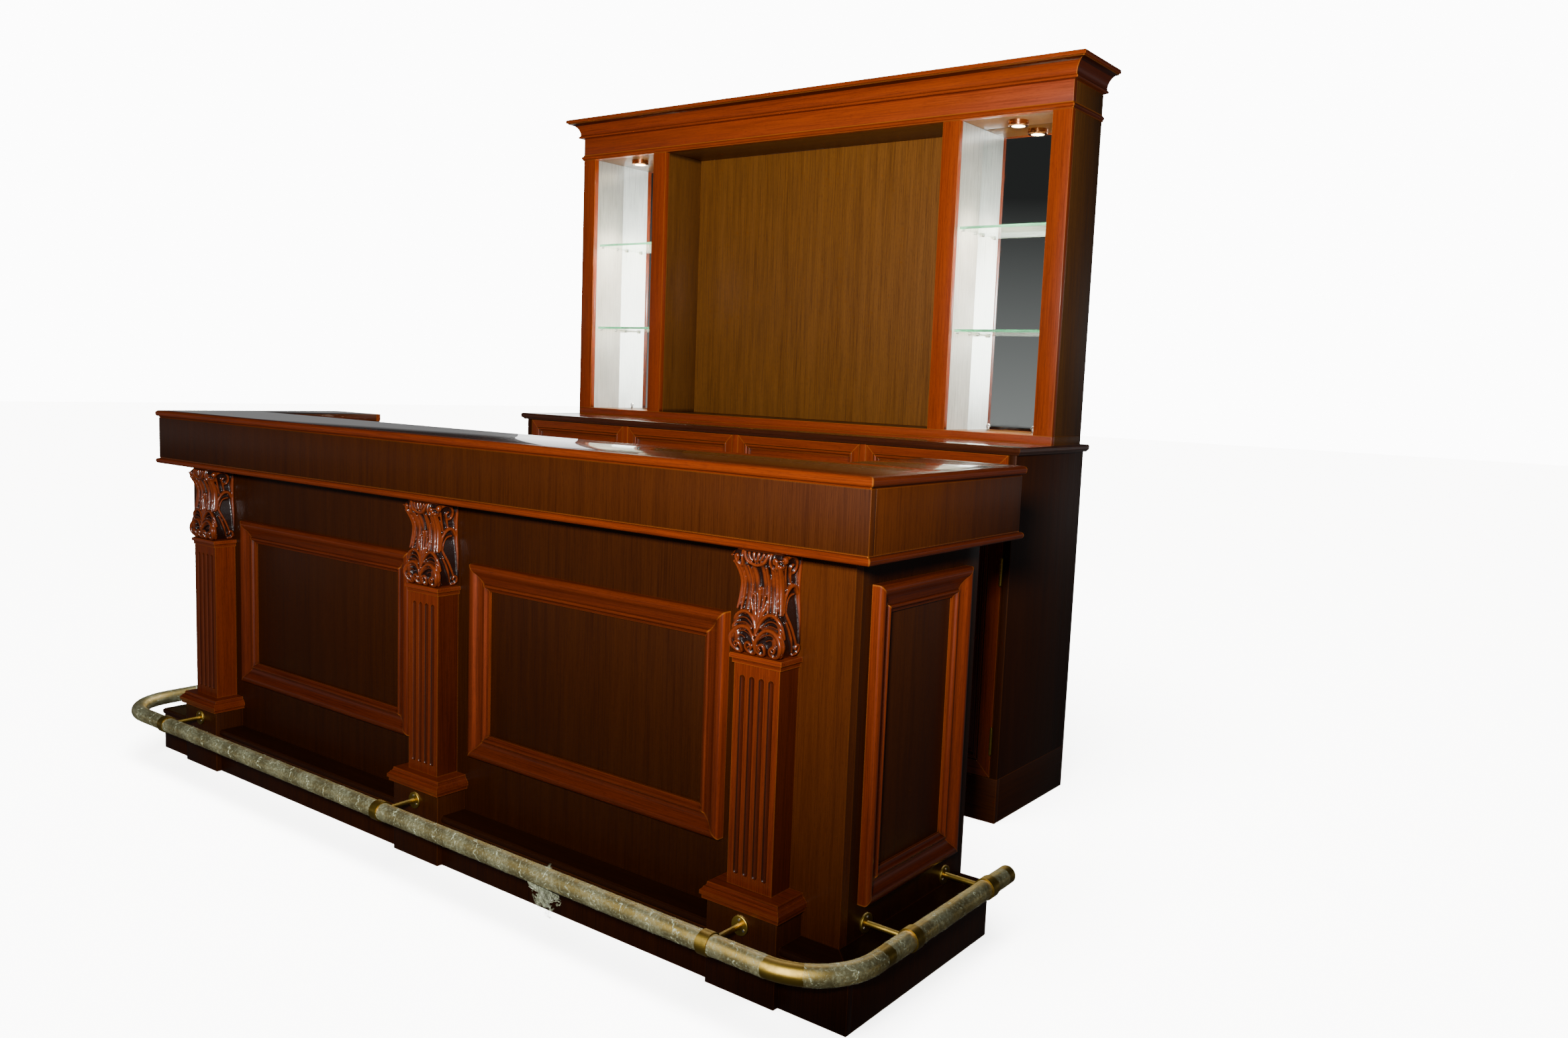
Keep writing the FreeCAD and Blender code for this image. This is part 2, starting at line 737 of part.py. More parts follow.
def rail_solid(radius):
    """A solid rod along the rail's centre line."""
    path = rail_path(rail_bend_radius)
    start = path.Vertexes[0].Point
    circle = Part.makeCircle(radius, start, Vector(0, 1, 0))
    return path.makePipeShell([Part.Wire([circle])], True, True)


def build_foot_rail():
    """The bent tube of the foot rail."""
    outer = rail_solid(rail_diameter / 2)
    inner = rail_solid(rail_diameter / 2 - rail_tube_wall)
    save("foot_rail", [outer.cut(inner)])


def rosette():
    """A round wall plate whose back lies on z = 0."""
    disc = Part.makeCylinder(rosette_diameter / 2, rosette_thickness)
    rim = [edge for edge in disc.Edges if edge.BoundBox.ZMin > rosette_thickness / 2]
    return disc.makeFillet(rosette_edge_radius, rim)


def collar():
    """A ring round the rail, centred on the origin with its axis along X."""
    outer = Part.makeCylinder(rail_diameter / 2 + collar_wall, collar_width)
    bore = Part.makeCylinder(rail_diameter / 2, collar_width)
    ring = outer.cut(bore)
    ring.translate(Vector(0, 0, -collar_width / 2))
    return placed(ring, 0, 0, 0, Rotation(Vector(0, 1, 0), 90))


def bracket(reach):
    """Wall plate on z = 0, rod along Z, and the collar whose centre is at the given reach."""
    rod_end = reach - rail_diameter / 2 - collar_wall / 2
    rod = Part.makeCylinder(rod_diameter / 2, rod_end - rosette_thickness,
                            Vector(0, 0, rosette_thickness))
    ring = placed(collar(), 0, 0, reach, Rotation())
    return [rosette(), rod.cut(Part.makeCylinder(rail_diameter / 2 + collar_wall, 2 * rod_diameter,
                                                 Vector(-rod_diameter, 0, reach),
                                                 Vector(1, 0, 0))), ring]


def rosette_screws():
    """Three low screw heads on a wall plate."""
    ring_radius = (rosette_diameter / 2 + rod_diameter / 2) / 2
    heads = []
    for number in range(rosette_screw_count):
        angle = 2 * math.pi * number / rosette_screw_count + math.pi / 2
        place = Vector(ring_radius * math.cos(angle), ring_radius * math.sin(angle),
                       rosette_thickness)
        heads.append(Part.makeCylinder(rosette_screw_diameter / 2, rosette_screw_height, place))
    return heads


def bracket_places():
    """Where the brackets stand: position, turn and reach of each."""
    places = []
    for centre in pilaster_centres:
        places.append((centre, wall_y - block_projection, face_front,
                       rail_front_reach - block_projection))
    for distance in (side_bracket_front, side_bracket_back):
        places.append((bar_half, wall_y + distance, face_right, rail_end_reach))
    return places


def build_rail_fittings():
    """Brackets and end caps of the foot rail."""
    centre_pieces = []
    side_pieces = []
    screws = []
    side_screws = []
    for x, y, turn, reach in bracket_places():
        pieces = [placed(piece, x, y, rail_height, turn) for piece in bracket(reach)]
        heads = [placed(head, x, y, rail_height, turn) for head in rosette_screws()]
        if x == bar_half:
            side_pieces += pieces
            side_screws += heads
        else:
            centre_pieces += pieces
            screws += heads
    cap = Part.makeCylinder(rail_diameter / 2, rail_cap_thickness,
                            Vector(bar_half + rail_end_reach, bar_end_y + rail_tail, rail_height),
                            Vector(0, 1, 0))
    rim = [edge for edge in cap.Edges
           if edge.BoundBox.YMin > bar_end_y + rail_tail + rail_cap_thickness / 2]
    cap = cap.makeFillet(rosette_edge_radius, rim)
    save("rail_fittings", centre_pieces + both_ends(side_pieces + [cap]))
    save("rail_screws", screws + both_ends(side_screws))


# Back bar: cabinet

def bay_left_faces():
    """Left face of the clear space of each bay."""
    first = -cabinet_half + cabinet_board
    return [first + number * (bay_width + cabinet_board) for number in range(bay_count)]


def build_cabinet_plinth():
    """The base frame under the cabinet."""
    x_in = cabinet_half - plinth_thickness
    front = box(-cabinet_half, cabinet_half, cabinet_y, cabinet_y + plinth_thickness, 0,
                plinth_height)
    back = box(-x_in, x_in, rear_y - plinth_thickness, rear_y, 0, plinth_height)
    side = box(x_in, cabinet_half, cabinet_y + plinth_thickness, rear_y, 0, plinth_height)
    save("cabinet_plinth", [front, back] + both_ends([side]))


def build_cabinet_sides():
    """The two plain ends of the cabinet."""
    side = box(cabinet_half - cabinet_board, cabinet_half, cabinet_y, rear_y, plinth_height,
               carcass_top)
    save("cabinet_sides", both_ends([side]))


def build_cabinet_carcass():
    """Bottom, partitions, and the rails between drawers and doors."""
    y_back = rear_y - cabinet_back_thickness
    y_bottom = cabinet_y + front_thickness + front_gap
    faces = bay_left_faces()
    boards = []
    for left in faces:
        right = left + bay_width
        boards.append(box(left, right, y_bottom, y_back, plinth_height, deck_top))
        boards.append(box(left, right, cabinet_y, cabinet_y + divider_depth, divider_bottom,
                          divider_top))
        boards.append(box(left, right, y_back - stretcher_depth, y_back,
                          carcass_top - cabinet_inner_board, carcass_top))
    for left in faces[1:]:
        boards.append(box(left - cabinet_board, left, cabinet_y, y_back, plinth_height,
                          carcass_top))
    save("cabinet_carcass", boards)


def build_cabinet_back():
    """The thin back of the cabinet."""
    x = cabinet_half - cabinet_board
    save("cabinet_back", [box(-x, x, rear_y - cabinet_back_thickness, rear_y, plinth_height,
                              carcass_top)])


def build_counter():
    """The counter board with its rounded edge on the front and both ends."""
    edge = counter_overhang
    board = moulded_block(counter_outline_shares, counter_outline_shares, cabinet_half,
                          cabinet_depth, edge, edge, counter_thickness)
    save("counter_top", [placed(board, 0, rear_y, carcass_top, Rotation())])


def runner_middle():
    """Height of the middle of the drawer runners."""
    return drawer_front_bottom + drawer_box_lift + drawer_box_height / 2


def runner_channel(face, side):
    """A fixed channel on a bay's face; side is 1 where it opens towards +X."""
    y_low = cabinet_y + front_thickness + front_gap
    y_high = y_low + drawer_box_depth
    z_low = runner_middle() - runner_height / 2
    slot = tongue_height / 2 + running_gap
    x_far = face + side * runner_thickness
    x_slot = x_far - side * (tongue_reach - runner_side_gap + running_gap)
    body = box(min(face, x_far), max(face, x_far), y_low, y_high, z_low, z_low + runner_height)
    x_open = x_far + side * cut_overrun
    groove = box(min(x_slot, x_open), max(x_slot, x_open), y_low - cut_overrun,
                 y_high + cut_overrun, runner_middle() - slot, runner_middle() + slot)
    return body.cut(groove)


def build_drawer_runners():
    """Two fixed channels for each drawer."""
    channels = []
    for left in bay_left_faces():
        channels.append(runner_channel(left, 1))
        channels.append(runner_channel(left + bay_width, -1))
    save("drawer_runners", channels)


def framed_front(stick_width, width, height):
    """Mitred frame with a flat panel; its back lies on z = 0 and it faces +Z."""
    sticks = frame_sticks(front_outline_shares, stick_width, front_thickness, width, height)
    panel = box(stick_width, width - stick_width, stick_width, height - stick_width, 0,
                front_panel_thickness)
    return sticks + [panel]


def drawer_box(left):
    """Sides, back, front, bottom and side tongues of one drawer box."""
    gap = runner_thickness + runner_side_gap
    x_low = left + gap
    x_high = left + bay_width - gap
    y_low = cabinet_y + front_thickness
    y_high = y_low + drawer_box_depth
    z_low = drawer_front_bottom + drawer_box_lift
    z_high = z_low + drawer_box_height
    wall = drawer_box_wall
    tongue_low = runner_middle() - tongue_height / 2
    tongue_high = tongue_low + tongue_height
    return [box(x_low, x_low + wall, y_low, y_high, z_low, z_high),
            box(x_high - wall, x_high, y_low, y_high, z_low, z_high),
            box(x_low + wall, x_high - wall, y_low, y_low + wall, z_low, z_high),
            box(x_low + wall, x_high - wall, y_high - wall, y_high, z_low, z_high),
            box(x_low + wall, x_high - wall, y_low + wall, y_high - wall, z_low,
                z_low + drawer_box_bottom),
            box(x_low - tongue_reach, x_low, y_low + front_gap, y_high, tongue_low, tongue_high),
            box(x_high, x_high + tongue_reach, y_low + front_gap, y_high, tongue_low,
                tongue_high)]


def knob():
    """A turned knob that stands on z = 0."""
    head_centre = knob_length - knob_head_radius * knob_head_flat_share
    base = Part.makeCylinder(knob_base_radius, knob_base_radius * knob_base_share)
    neck = Part.makeCone(knob_base_radius * knob_waist_share, knob_neck_radius,
                         knob_length * knob_neck_length_share)
    stem = Part.makeCylinder(knob_neck_radius, head_centre)
    squash = FreeCAD.Matrix()
    squash.scale(1, 1, knob_head_flat_share)
    head = Part.makeSphere(knob_head_radius).transformGeometry(squash)
    head.translate(Vector(0, 0, head_centre))
    return base.fuse(neck).fuse(stem).fuse(head)


def build_drawers():
    """The four drawers: front, box and knob."""
    for number, left in enumerate(bay_left_faces(), start=1):
        x = left + front_gap
        y = cabinet_y + front_thickness
        pieces = framed_front(drawer_stick_width, front_width, drawer_front_height)
        save("drawer_front_%d" % number,
             [placed(piece, x, y, drawer_front_bottom, face_front) for piece in pieces])
        save("drawer_box_%d" % number, drawer_box(left))
        save("drawer_knob_%d" % number,
             [placed(knob(), left + bay_width / 2, y - front_panel_thickness,
                     drawer_front_bottom + drawer_front_height / 2, face_front)])


def hinge_side(number):
    """Side of the bay that carries the hinges: -1 on the left half, 1 on the right half."""
    return -1 if number <= bay_count / 2 else 1


def hinge_pin_place(number, left):
    """X and Y of a door's pin, in front of the gap beside the door."""
    side = hinge_side(number)
    face = left if side < 0 else left + bay_width
    return face - side * front_gap / 2, cabinet_y - hinge_barrel_radius - hinge_stand_off


def hinge_half(x, y, centre, side, knuckles):
    """One leaf with its knuckles; side is the direction of its leaf from the pin."""
    pitch = hinge_height / hinge_knuckle_count
    low = centre - hinge_height / 2
    x_inner = x + side * (front_gap / 2 - hinge_leaf_thickness)
    x_outer = x + side * front_gap / 2
    x_low, x_high = min(x_inner, x_outer), max(x_inner, x_outer)
    leaf = box(x_low, x_high, cabinet_y, cabinet_y + hinge_leaf_width, low, low + hinge_height)
    bore_radius = hinge_pin_radius + hinge_pin_gap
    for index in knuckles:
        z = low + index * pitch + hinge_knuckle_gap / 2
        length = pitch - hinge_knuckle_gap
        barrel = Part.makeCylinder(hinge_barrel_radius, length, Vector(x, y, z))
        tab = box(x_low, x_high, y, cabinet_y, z, z + length)
        leaf = leaf.fuse(tab).fuse(barrel)
    bore = Part.makeCylinder(bore_radius, hinge_height + 2 * cut_overrun,
                             Vector(x, y, low - cut_overrun))
    return leaf.cut(bore).removeSplitter()


def hinge_pin(x, y, centre):
    """The pin with a small button at each end."""
    low = centre - hinge_height / 2
    pin = Part.makeCylinder(hinge_pin_radius, hinge_height + 2 * hinge_knuckle_gap,
                            Vector(x, y, low - hinge_knuckle_gap))
    top = Part.makeCone(hinge_barrel_radius, hinge_barrel_radius / 2, hinge_tip_height,
                        Vector(x, y, low + hinge_height))
    foot = Part.makeCone(hinge_barrel_radius / 2, hinge_barrel_radius, hinge_tip_height,
                         Vector(x, y, low - hinge_tip_height))
    return pin.fuse(top).fuse(foot)


def build_doors():
    """The four doors with their knobs and hinges."""
    fixed = []
    for number, left in enumerate(bay_left_faces(), start=1):
        side = hinge_side(number)
        x_pin, y_pin = hinge_pin_place(number, left)
        x = left + front_gap
        y = cabinet_y + front_thickness
        pieces = framed_front(door_stick_width, front_width, door_height)
        save("door_%d" % number, [placed(piece, x, y, door_bottom, face_front)
                                  for piece in pieces])
        knob_from_edge = door_stick_width * door_knob_edge_share
        x_knob = x + knob_from_edge if side > 0 else x + front_width - knob_from_edge
        hardware = [placed(knob(), x_knob, cabinet_y, door_top - door_knob_top_margin,
                           face_front)]
        for centre in hinge_centres:
            hardware.append(hinge_half(x_pin, y_pin, centre, -side, (1, 3)))
            fixed.append(hinge_half(x_pin, y_pin, centre, side, (0, 2, 4)))
            fixed.append(hinge_pin(x_pin, y_pin, centre))
        save("door_hardware_%d" % number, hardware)
    save("door_hinges", fixed)


# Back bar: hutch

def build_hutch_carcass():
    """Sides, posts, floor, ceiling and the boards that carry the mirrors."""
    y_face = hutch_y + face_frame_thickness
    y_back = hutch_y + hutch_depth - hutch_back_thickness
    y_mirror = hutch_y + niche_depth + mirror_thickness
    z_ceiling = niche_top + ceiling_thickness
    x_side = hutch_half - hutch_board
    side = box(x_side, hutch_half, y_face, rear_y, niche_floor, crown_cap_bottom)
    x_niche_post = niche_inner_x - lining_thickness
    niche_post = box(x_niche_post - post_board, x_niche_post, y_face, y_back, niche_floor,
                     niche_top)
    centre_post = box(centre_half, centre_half + post_board, y_face, y_back, niche_floor,
                      niche_top)
    backing = box(x_niche_post, x_side, y_mirror, y_mirror + mirror_backing_thickness,
                  niche_floor, niche_top)
    packer = box(niche_outer_x + lining_thickness, x_side, y_face, y_mirror, niche_floor,
                 niche_top)
    floor = box(-hutch_half, hutch_half, y_face, rear_y, cabinet_height, niche_floor)
    ceiling = box(-x_side, x_side, y_face, y_back, niche_top, z_ceiling)
    save("hutch_carcass",
         [floor, ceiling] + both_ends([side, niche_post, centre_post, backing, packer]))


def build_hutch_back():
    """The veneered back of the centre recess, across the whole hutch."""
    x = hutch_half - hutch_board
    y_low = rear_y - hutch_back_thickness
    save("hutch_back", [box(-x, x, y_low, rear_y, niche_floor, crown_cap_bottom)])


def build_face_frame():
    """Stiles and bottom rail on the front of the hutch."""
    y_high = hutch_y + face_frame_thickness
    rail = box(-hutch_half, hutch_half, hutch_y, y_high, cabinet_height, niche_floor)
    outer = box(niche_outer_x, hutch_half, hutch_y, y_high, niche_floor, niche_top)
    inner = box(centre_half, niche_inner_x, hutch_y, y_high, niche_floor, niche_top)
    save("face_frame", [rail] + both_ends([outer, inner]))


def build_niches():
    """Satin linings, mirrors, glass shelves and clips of the two niches."""
    y_face = hutch_y + face_frame_thickness
    y_mirror = hutch_y + niche_depth
    outer = box(niche_outer_x, niche_outer_x + lining_thickness, y_face, y_mirror, niche_floor,
                niche_top)
    inner = box(niche_inner_x - lining_thickness, niche_inner_x, y_face, y_mirror, niche_floor,
                niche_top)
    save("niche_linings", both_ends([outer, inner]))
    mirror = box(niche_inner_x - lining_thickness, niche_outer_x + lining_thickness, y_mirror,
                 y_mirror + mirror_thickness, niche_floor, niche_top)
    save("niche_mirrors", both_ends([mirror]))
    shelves = []
    clips = []
    for level in range(1, niche_level_count):
        z = niche_floor + level * niche_height / niche_level_count
        shelf = box(niche_inner_x + glass_side_gap, niche_outer_x - glass_side_gap,
                    y_face + glass_front_setback, y_mirror - running_gap, z - glass_thickness, z)
        shelves.append(shelf)
        z_clip = z - glass_thickness - clip_diameter / 2
        for y in (y_face + clip_end_margin, y_mirror - clip_end_margin):
            clips.append(Part.makeCylinder(clip_diameter / 2, clip_length,
                                           Vector(niche_inner_x, y, z_clip), Vector(1, 0, 0)))
            clips.append(Part.makeCylinder(clip_diameter / 2, clip_length,
                                           Vector(niche_outer_x, y, z_clip), Vector(-1, 0, 0)))
    save("glass_shelves", both_ends(shelves))
    save("shelf_clips", both_ends(clips))


def build_lamps():
    """One surface spot lamp in the ceiling of each niche, and its lens."""
    x = (niche_inner_x + niche_outer_x) / 2
    y = hutch_y + (face_frame_thickness + niche_depth) / 2
    z = niche_top - lamp_height
    radius = lamp_diameter / 2
    body = Part.makeCylinder(radius, lamp_height, Vector(x, y, z))
    rim = [edge for edge in body.Edges if edge.BoundBox.ZMax < niche_top - lamp_height / 2]
    body = body.makeFillet(lamp_height / 4, rim)
    lens_radius = radius - lamp_rim
    lens = Part.makeCylinder(lens_radius, lens_thickness, Vector(x, y, z))
    save("lamp_housings", both_ends([body.cut(lens)]))
    save("lamp_lenses", both_ends([lens]))


def wrapped_moulding(shares, width, height, z):
    """A moulding along the front of the hutch, returned along both ends to the back."""
    front = placed(stick(shares, width, height, 2 * hutch_half, 1, 1), hutch_half, hutch_y, z,
                   Rotation(about_z, 180))
    side = placed(stick(shares, width, height, hutch_depth, 0, 1), hutch_half, rear_y, z,
                  Rotation(about_z, -90))
    return [front] + both_ends([side])


def build_crown():
    """Frieze, astragal, crown moulding and cap on top of the hutch."""
    y_high = hutch_y + face_frame_thickness
    save("frieze_board", [box(-hutch_half, hutch_half, hutch_y, y_high, niche_top,
                              crown_cap_bottom)])
    save("astragal", wrapped_moulding(astragal_outline_shares, astragal_proud, astragal_height,
                                      niche_top))
    crown = wrapped_moulding(crown_outline_shares, crown_proud, crown_height, crown_bottom)
    cap = moulded_block(crown_cap_outline_shares, crown_cap_outline_shares, hutch_half,
                        hutch_depth, crown_cap_proud, crown_cap_proud, crown_cap_thickness)
    save("crown", crown + [placed(cap, 0, rear_y, crown_cap_bottom, Rotation())])


def build_front_bar():
    """Every sub-part of the front bar."""
    build_bar_top()
    build_top_lip()
    build_apron()
    build_apron_moulding()
    build_front_wall()
    build_side_walls()
    build_inset_panels()
    build_front_frames()
    build_side_frames()
    build_pilaster_shafts()
    build_neck_mouldings()
    build_capitals()
    build_plinth_blocks()
    build_block_caps()
    build_step_risers()
    build_step_treads()
    build_wing_panels()
    build_service_shelving()
    build_foot_rail()
    build_rail_fittings()


def build_back_bar():
    """Every sub-part of the back bar."""
    build_cabinet_plinth()
    build_cabinet_sides()
    build_cabinet_carcass()
    build_cabinet_back()
    build_counter()
    build_drawer_runners()
    build_drawers()
    build_doors()
    build_hutch_carcass()
    build_hutch_back()
    build_face_frame()
    build_niches()
    build_lamps()
    build_crown()


os.makedirs("parts", exist_ok=True)
build_front_bar()
build_back_bar()
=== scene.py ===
"""Looks of a home bar: a front bar with carved pilasters and a back bar with a hutch."""
import json
import math
import random

import bmesh
import bpy
from bpy.props import FloatProperty, FloatVectorProperty, IntProperty, PointerProperty
from bpy.types import Operator, Panel, PropertyGroup
from mathutils import Matrix, Vector, noise
from mathutils.bvhtree import BVHTree

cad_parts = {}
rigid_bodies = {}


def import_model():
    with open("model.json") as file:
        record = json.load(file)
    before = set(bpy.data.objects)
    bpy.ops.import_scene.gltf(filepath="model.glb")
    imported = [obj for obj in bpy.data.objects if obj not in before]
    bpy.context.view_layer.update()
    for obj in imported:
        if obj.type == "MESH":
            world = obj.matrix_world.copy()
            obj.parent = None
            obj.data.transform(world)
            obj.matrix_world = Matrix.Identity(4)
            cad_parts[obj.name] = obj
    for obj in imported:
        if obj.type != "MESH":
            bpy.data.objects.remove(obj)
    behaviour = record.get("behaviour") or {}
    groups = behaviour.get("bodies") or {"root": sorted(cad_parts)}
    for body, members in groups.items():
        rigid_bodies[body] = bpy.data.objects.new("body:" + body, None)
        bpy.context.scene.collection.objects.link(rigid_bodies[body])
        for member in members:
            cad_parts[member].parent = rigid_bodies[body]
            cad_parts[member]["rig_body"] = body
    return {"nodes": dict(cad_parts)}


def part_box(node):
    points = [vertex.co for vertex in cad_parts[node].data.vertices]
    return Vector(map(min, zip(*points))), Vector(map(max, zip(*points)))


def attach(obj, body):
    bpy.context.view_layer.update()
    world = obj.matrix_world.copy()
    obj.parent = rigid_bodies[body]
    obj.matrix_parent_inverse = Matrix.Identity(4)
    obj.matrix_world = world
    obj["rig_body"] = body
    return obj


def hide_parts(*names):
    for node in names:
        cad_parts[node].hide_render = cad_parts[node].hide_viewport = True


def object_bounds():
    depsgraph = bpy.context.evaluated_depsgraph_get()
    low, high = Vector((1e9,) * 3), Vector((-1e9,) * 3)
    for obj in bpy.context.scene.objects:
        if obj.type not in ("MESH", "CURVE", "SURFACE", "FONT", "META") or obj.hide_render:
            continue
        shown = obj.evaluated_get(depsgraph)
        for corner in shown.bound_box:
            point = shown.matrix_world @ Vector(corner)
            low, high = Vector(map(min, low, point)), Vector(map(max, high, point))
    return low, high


bl_info = {
    "name": "Home bar looks",
    "version": (1, 0, 0),
    "blender": (4, 5, 0),
    "location": "View3D > Sidebar > Home bar",
    "description": "Woods, carving, brass and glass of a home bar, built round its packed frame",
    "category": "Object",
}

for leftover in list(bpy.data.objects):
    bpy.data.objects.remove(leftover)
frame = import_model()
cad_low, cad_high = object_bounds()

MM = 0.001
# Points of a solid that lie closer than this are one point
MERGE = 0.01 * MM
# Faces that meet flatter than FLAT are one face, flatter than SMOOTH one smooth surface, and
# edges sharper than SHARP are softened on solids that have no more faces than a plain board
FLAT, SMOOTH, SHARP = math.radians(0.3), math.radians(32), math.radians(40)
PLAIN_FACES = 14

# Nodes whose veneer runs upright although the board is wider than it is high
UPRIGHT_GRAIN = ("front_wall", "inset_panels", "hutch_back", "plinth_blocks", "cabinet_back",
                 "apron_boards", "step_risers")
# Pieces that lights of their own brighten, as the room round them would
METAL_PIECES = ("foot_rail", "rail_fittings", "rail_screws", "rail_film", "rail_flap")
# Pieces that the lamps of the niches light through the glass shelves
NICHE_PIECES = ("niche_", "glass_", "shelf_", "mirror_clips")
# Nodes that look like another slot than their own
OTHER_FINISH = {"step_treads": "mahogany_veneer", "hutch_carcass": "recess_veneer",
                "rail_screws": "steel"}
# Nodes whose boards are darker than their finish; for the side walls and cabinet sides, which look
# away from the key light, the darkening is painted shade
DARKER_AND_PAINTED_SHADE = {"inset_panels": 0.62, "side_walls": 0.45, "cabinet_sides": 0.45, "step_treads": 0.5,
          "step_risers": 0.8, "hutch_carcass": 0.8, "plinth_blocks": 0.8, "apron_boards": 0.78,
          "top_lip": 0.8, "front_frames": 0.62, "side_frames": 0.8, "pilaster_shafts": 0.9,
          "apron_moulding": 0.85, "drawer_front": 0.86, "door": 0.78, "counter_top": 0.78}
# Sticks that run back along the ends are painted darker, as painted shade of the ends
END_STICK_PAINTED_SHADE = 0.6
# Shades of strips of a board: the wall's leaves from left to right, the last one painted lighter
# as painted light on the bar's right end, and the crown from its foot up, with a painted shadow
# under the cap
STRIPS = {"front_wall": (0.6, 0.56, 0.56, 1.15), "crown": (1.0, 0.22, 1.0)}
CROWN_SHADOW = (0.69, 0.815)
# Painted shade of the faces that look away to the ends, which turns into painted light where the
# factor is above one, and painted shade of the faces that lie in a hollow
END_FACE_PAINTED_LIGHT_AND_SHADE = {"crown": 0.45, "frieze_board": 0.5, "astragal": 0.5, "hutch_carcass": 0.68,
             "pilaster_shafts": 0.4, "neck_mouldings": 0.6, "block_caps": 0.7,
             "front_frames": 1.7, "apron_boards": 1.5}
HOLLOW_PAINTED_SHADE = {"pilaster_shafts": 0.55}
# How far a face turns to an end before it counts as looking there
END_FACING = 0.6
# The boards of one node differ in shade by this much
TONES = (0.92, 1.06)


def linear(hex_colour):
    """The linear values of an sRGB hex colour."""
    shares = [int(hex_colour[at:at + 2], 16) / 255 for at in (1, 3, 5)]
    return tuple(s / 12.92 if s <= 0.04045 else ((s + 0.055) / 1.055) ** 2.4 for s in shares)


def colour(name, description, hex_colour):
    """A colour that a user may change."""
    return FloatVectorProperty(name=name, description=description, subtype="COLOR", size=3,
                               min=0, max=1, default=linear(hex_colour))


def number(name, description, default, **more):
    """A number that a user may change."""
    return FloatProperty(name=name, description=description, default=default, **more)


def length(name, description, millimetres):
    """A length that a user may change."""
    return number(name, description, millimetres * MM, min=0, unit="LENGTH", subtype="DISTANCE",
                  precision=4)


def factor(name, description, default):
    """A share from 0 to 1 that a user may change."""
    return number(name, description, default, min=0, max=1, subtype="FACTOR")


def power(name, description, watts):
    """A light's power that a user may change."""
    return number(name, description, watts, min=0, unit="POWER")


def angle(name, description, degrees):
    """An angle that a user may change."""
    return number(name, description, math.radians(degrees), subtype="ANGLE")


# Shades of each wood: its label, where it is, and its colours in the order of SHADES
WOOD_SHADES = {
    "veneer": ("Veneer", "mahogany veneer", "#3c1805", "#542709", "#63300b"),
    "moulding": ("Moulding", "solid mahogany", "#602108", "#90360c", "#a84711"),
    "top": ("Top", "glossy tops", "#2c1005", "#4f2009", "#6d330f"),
    "recess": ("Recess", "recess veneer", "#4a2a0e", "#734517", "#8c5a26"),
    "birch": ("Birch", "drawer boxes", "#a67f4c", "#c9a56c", "#dcbf8a"),
}
SHADES = {"dark": "Dark streaks", "middle": "Ground", "light": "Light figure"}


class HomeBarWood(PropertyGroup):
    """Shades and grain of the woods."""
    carving: colour("Carving, raised", "Raised parts of the carved capitals", "#8c3a10")
    # The hollow colour is stain and painted shade in the carving's hollows
    carving_hollow: colour("Carving, hollow", "Hollows of the carved capitals", "#200a04")
    streak_width: length("Streak width", "Width of a streak of the grain", 2.2)
    streak_length: length("Streak length", "Length of a streak of the grain", 150)
    band_width: length("Ribbon width", "Width of a ribbon of the figure", 30)
    band_length: length("Ribbon length", "Length of a ribbon of the figure", 900)
    # A real pore is a tenth of a millimetre wide, so it is drawn as coarse as it shows
    pore_width: length("Pore width", "Width of a pore as drawn", 1.1)
    pore_length: length("Pore length", "Length of a pore", 18)
    arris: length("Softened edge", "Width of the softened edge of a board", 1.0)
    # The worn edge colour is partly rubbed wear, partly a painted highlight on raised edges
    worn: colour("Worn edge", "Wood that shows where an edge is rubbed", "#b2621c")
    # The gathered stain colour is partly stain, partly painted shade in hollows and corners
    crease_stain_and_shade: colour("Gathered stain", "Stain that gathers in hollows and corners", "#120602")
    edge_reach: length("Edge reach", "How far a rubbed edge reaches over its faces", 2.5)
    crease_stain_and_shade_reach: length("Stain reach", "How far the stain reaches out of a hollow", 14)


for wood_name, (label, where, *hexes) in WOOD_SHADES.items():
    for (shade_name, words), hex_shade in zip(SHADES.items(), hexes):
        HomeBarWood.__annotations__[wood_name + "_" + shade_name] = colour(
            label + ", " + shade_name, words + " of the " + where, hex_shade)


class HomeBarMetal(PropertyGroup):
    """Colours of the metals, the glass and the film."""
    brass: colour("Brass", "Ground of the brass", "#ae8f3c")
    brass_dull: colour("Brass, dull", "Tarnished patches of the brass", "#7d682c")
    copper: colour("Copper", "Lamp housings", "#c07a4c")
    steel: colour("Steel", "Clips, channels and screws", "#b9bbbd")
    lining: colour("Lining", "Satin lining of the niches", "#c8c8c4")
    mirror: colour("Mirror", "Silvered glass", "#dfe6e3")
    glass: colour("Glass", "Face of the glass shelves", "#e6f4ee")
    glass_edge: colour("Glass edge", "Edge of the glass shelves", "#5aa886")
    lens: colour("Lamp glass", "Frosted glass of the lamps", "#ffe2b4")
    film: colour("Film", "Creases of the clear film", "#bcc4a2")
    film_thickness: length("Film thickness", "How far the wrapped film stands off the rail", 0.5)
    film_crease: length("Film crease", "Height of the creases of the film", 1.1)
    film_pitch: length("Film pitch", "Distance from turn to turn of the wrapped film", 75)
    film_cover: factor("Film cover", "Whiteness of the flat film", 0.11)
    loose_cover: factor("Loose film cover", "Whiteness of the torn ends of the film", 0.26)
    rail_bend: length("Rail bend", "Radius of the bends of the foot rail", 150)
    clip_width: length("Mirror clip", "Width of the clip that holds a mirror", 16)


class HomeBarCarving(PropertyGroup):
    """Sizes of the carving on the capitals."""
    voxel: length("Detail", "Smallest detail that the carving keeps", 1.3)
    core_share: factor("Ground", "Depth of the ground behind the ribs", 0.9)
    smoothing: IntProperty(name="Smoothing", description="Passes that soften the tool marks",
                           min=0, default=3)


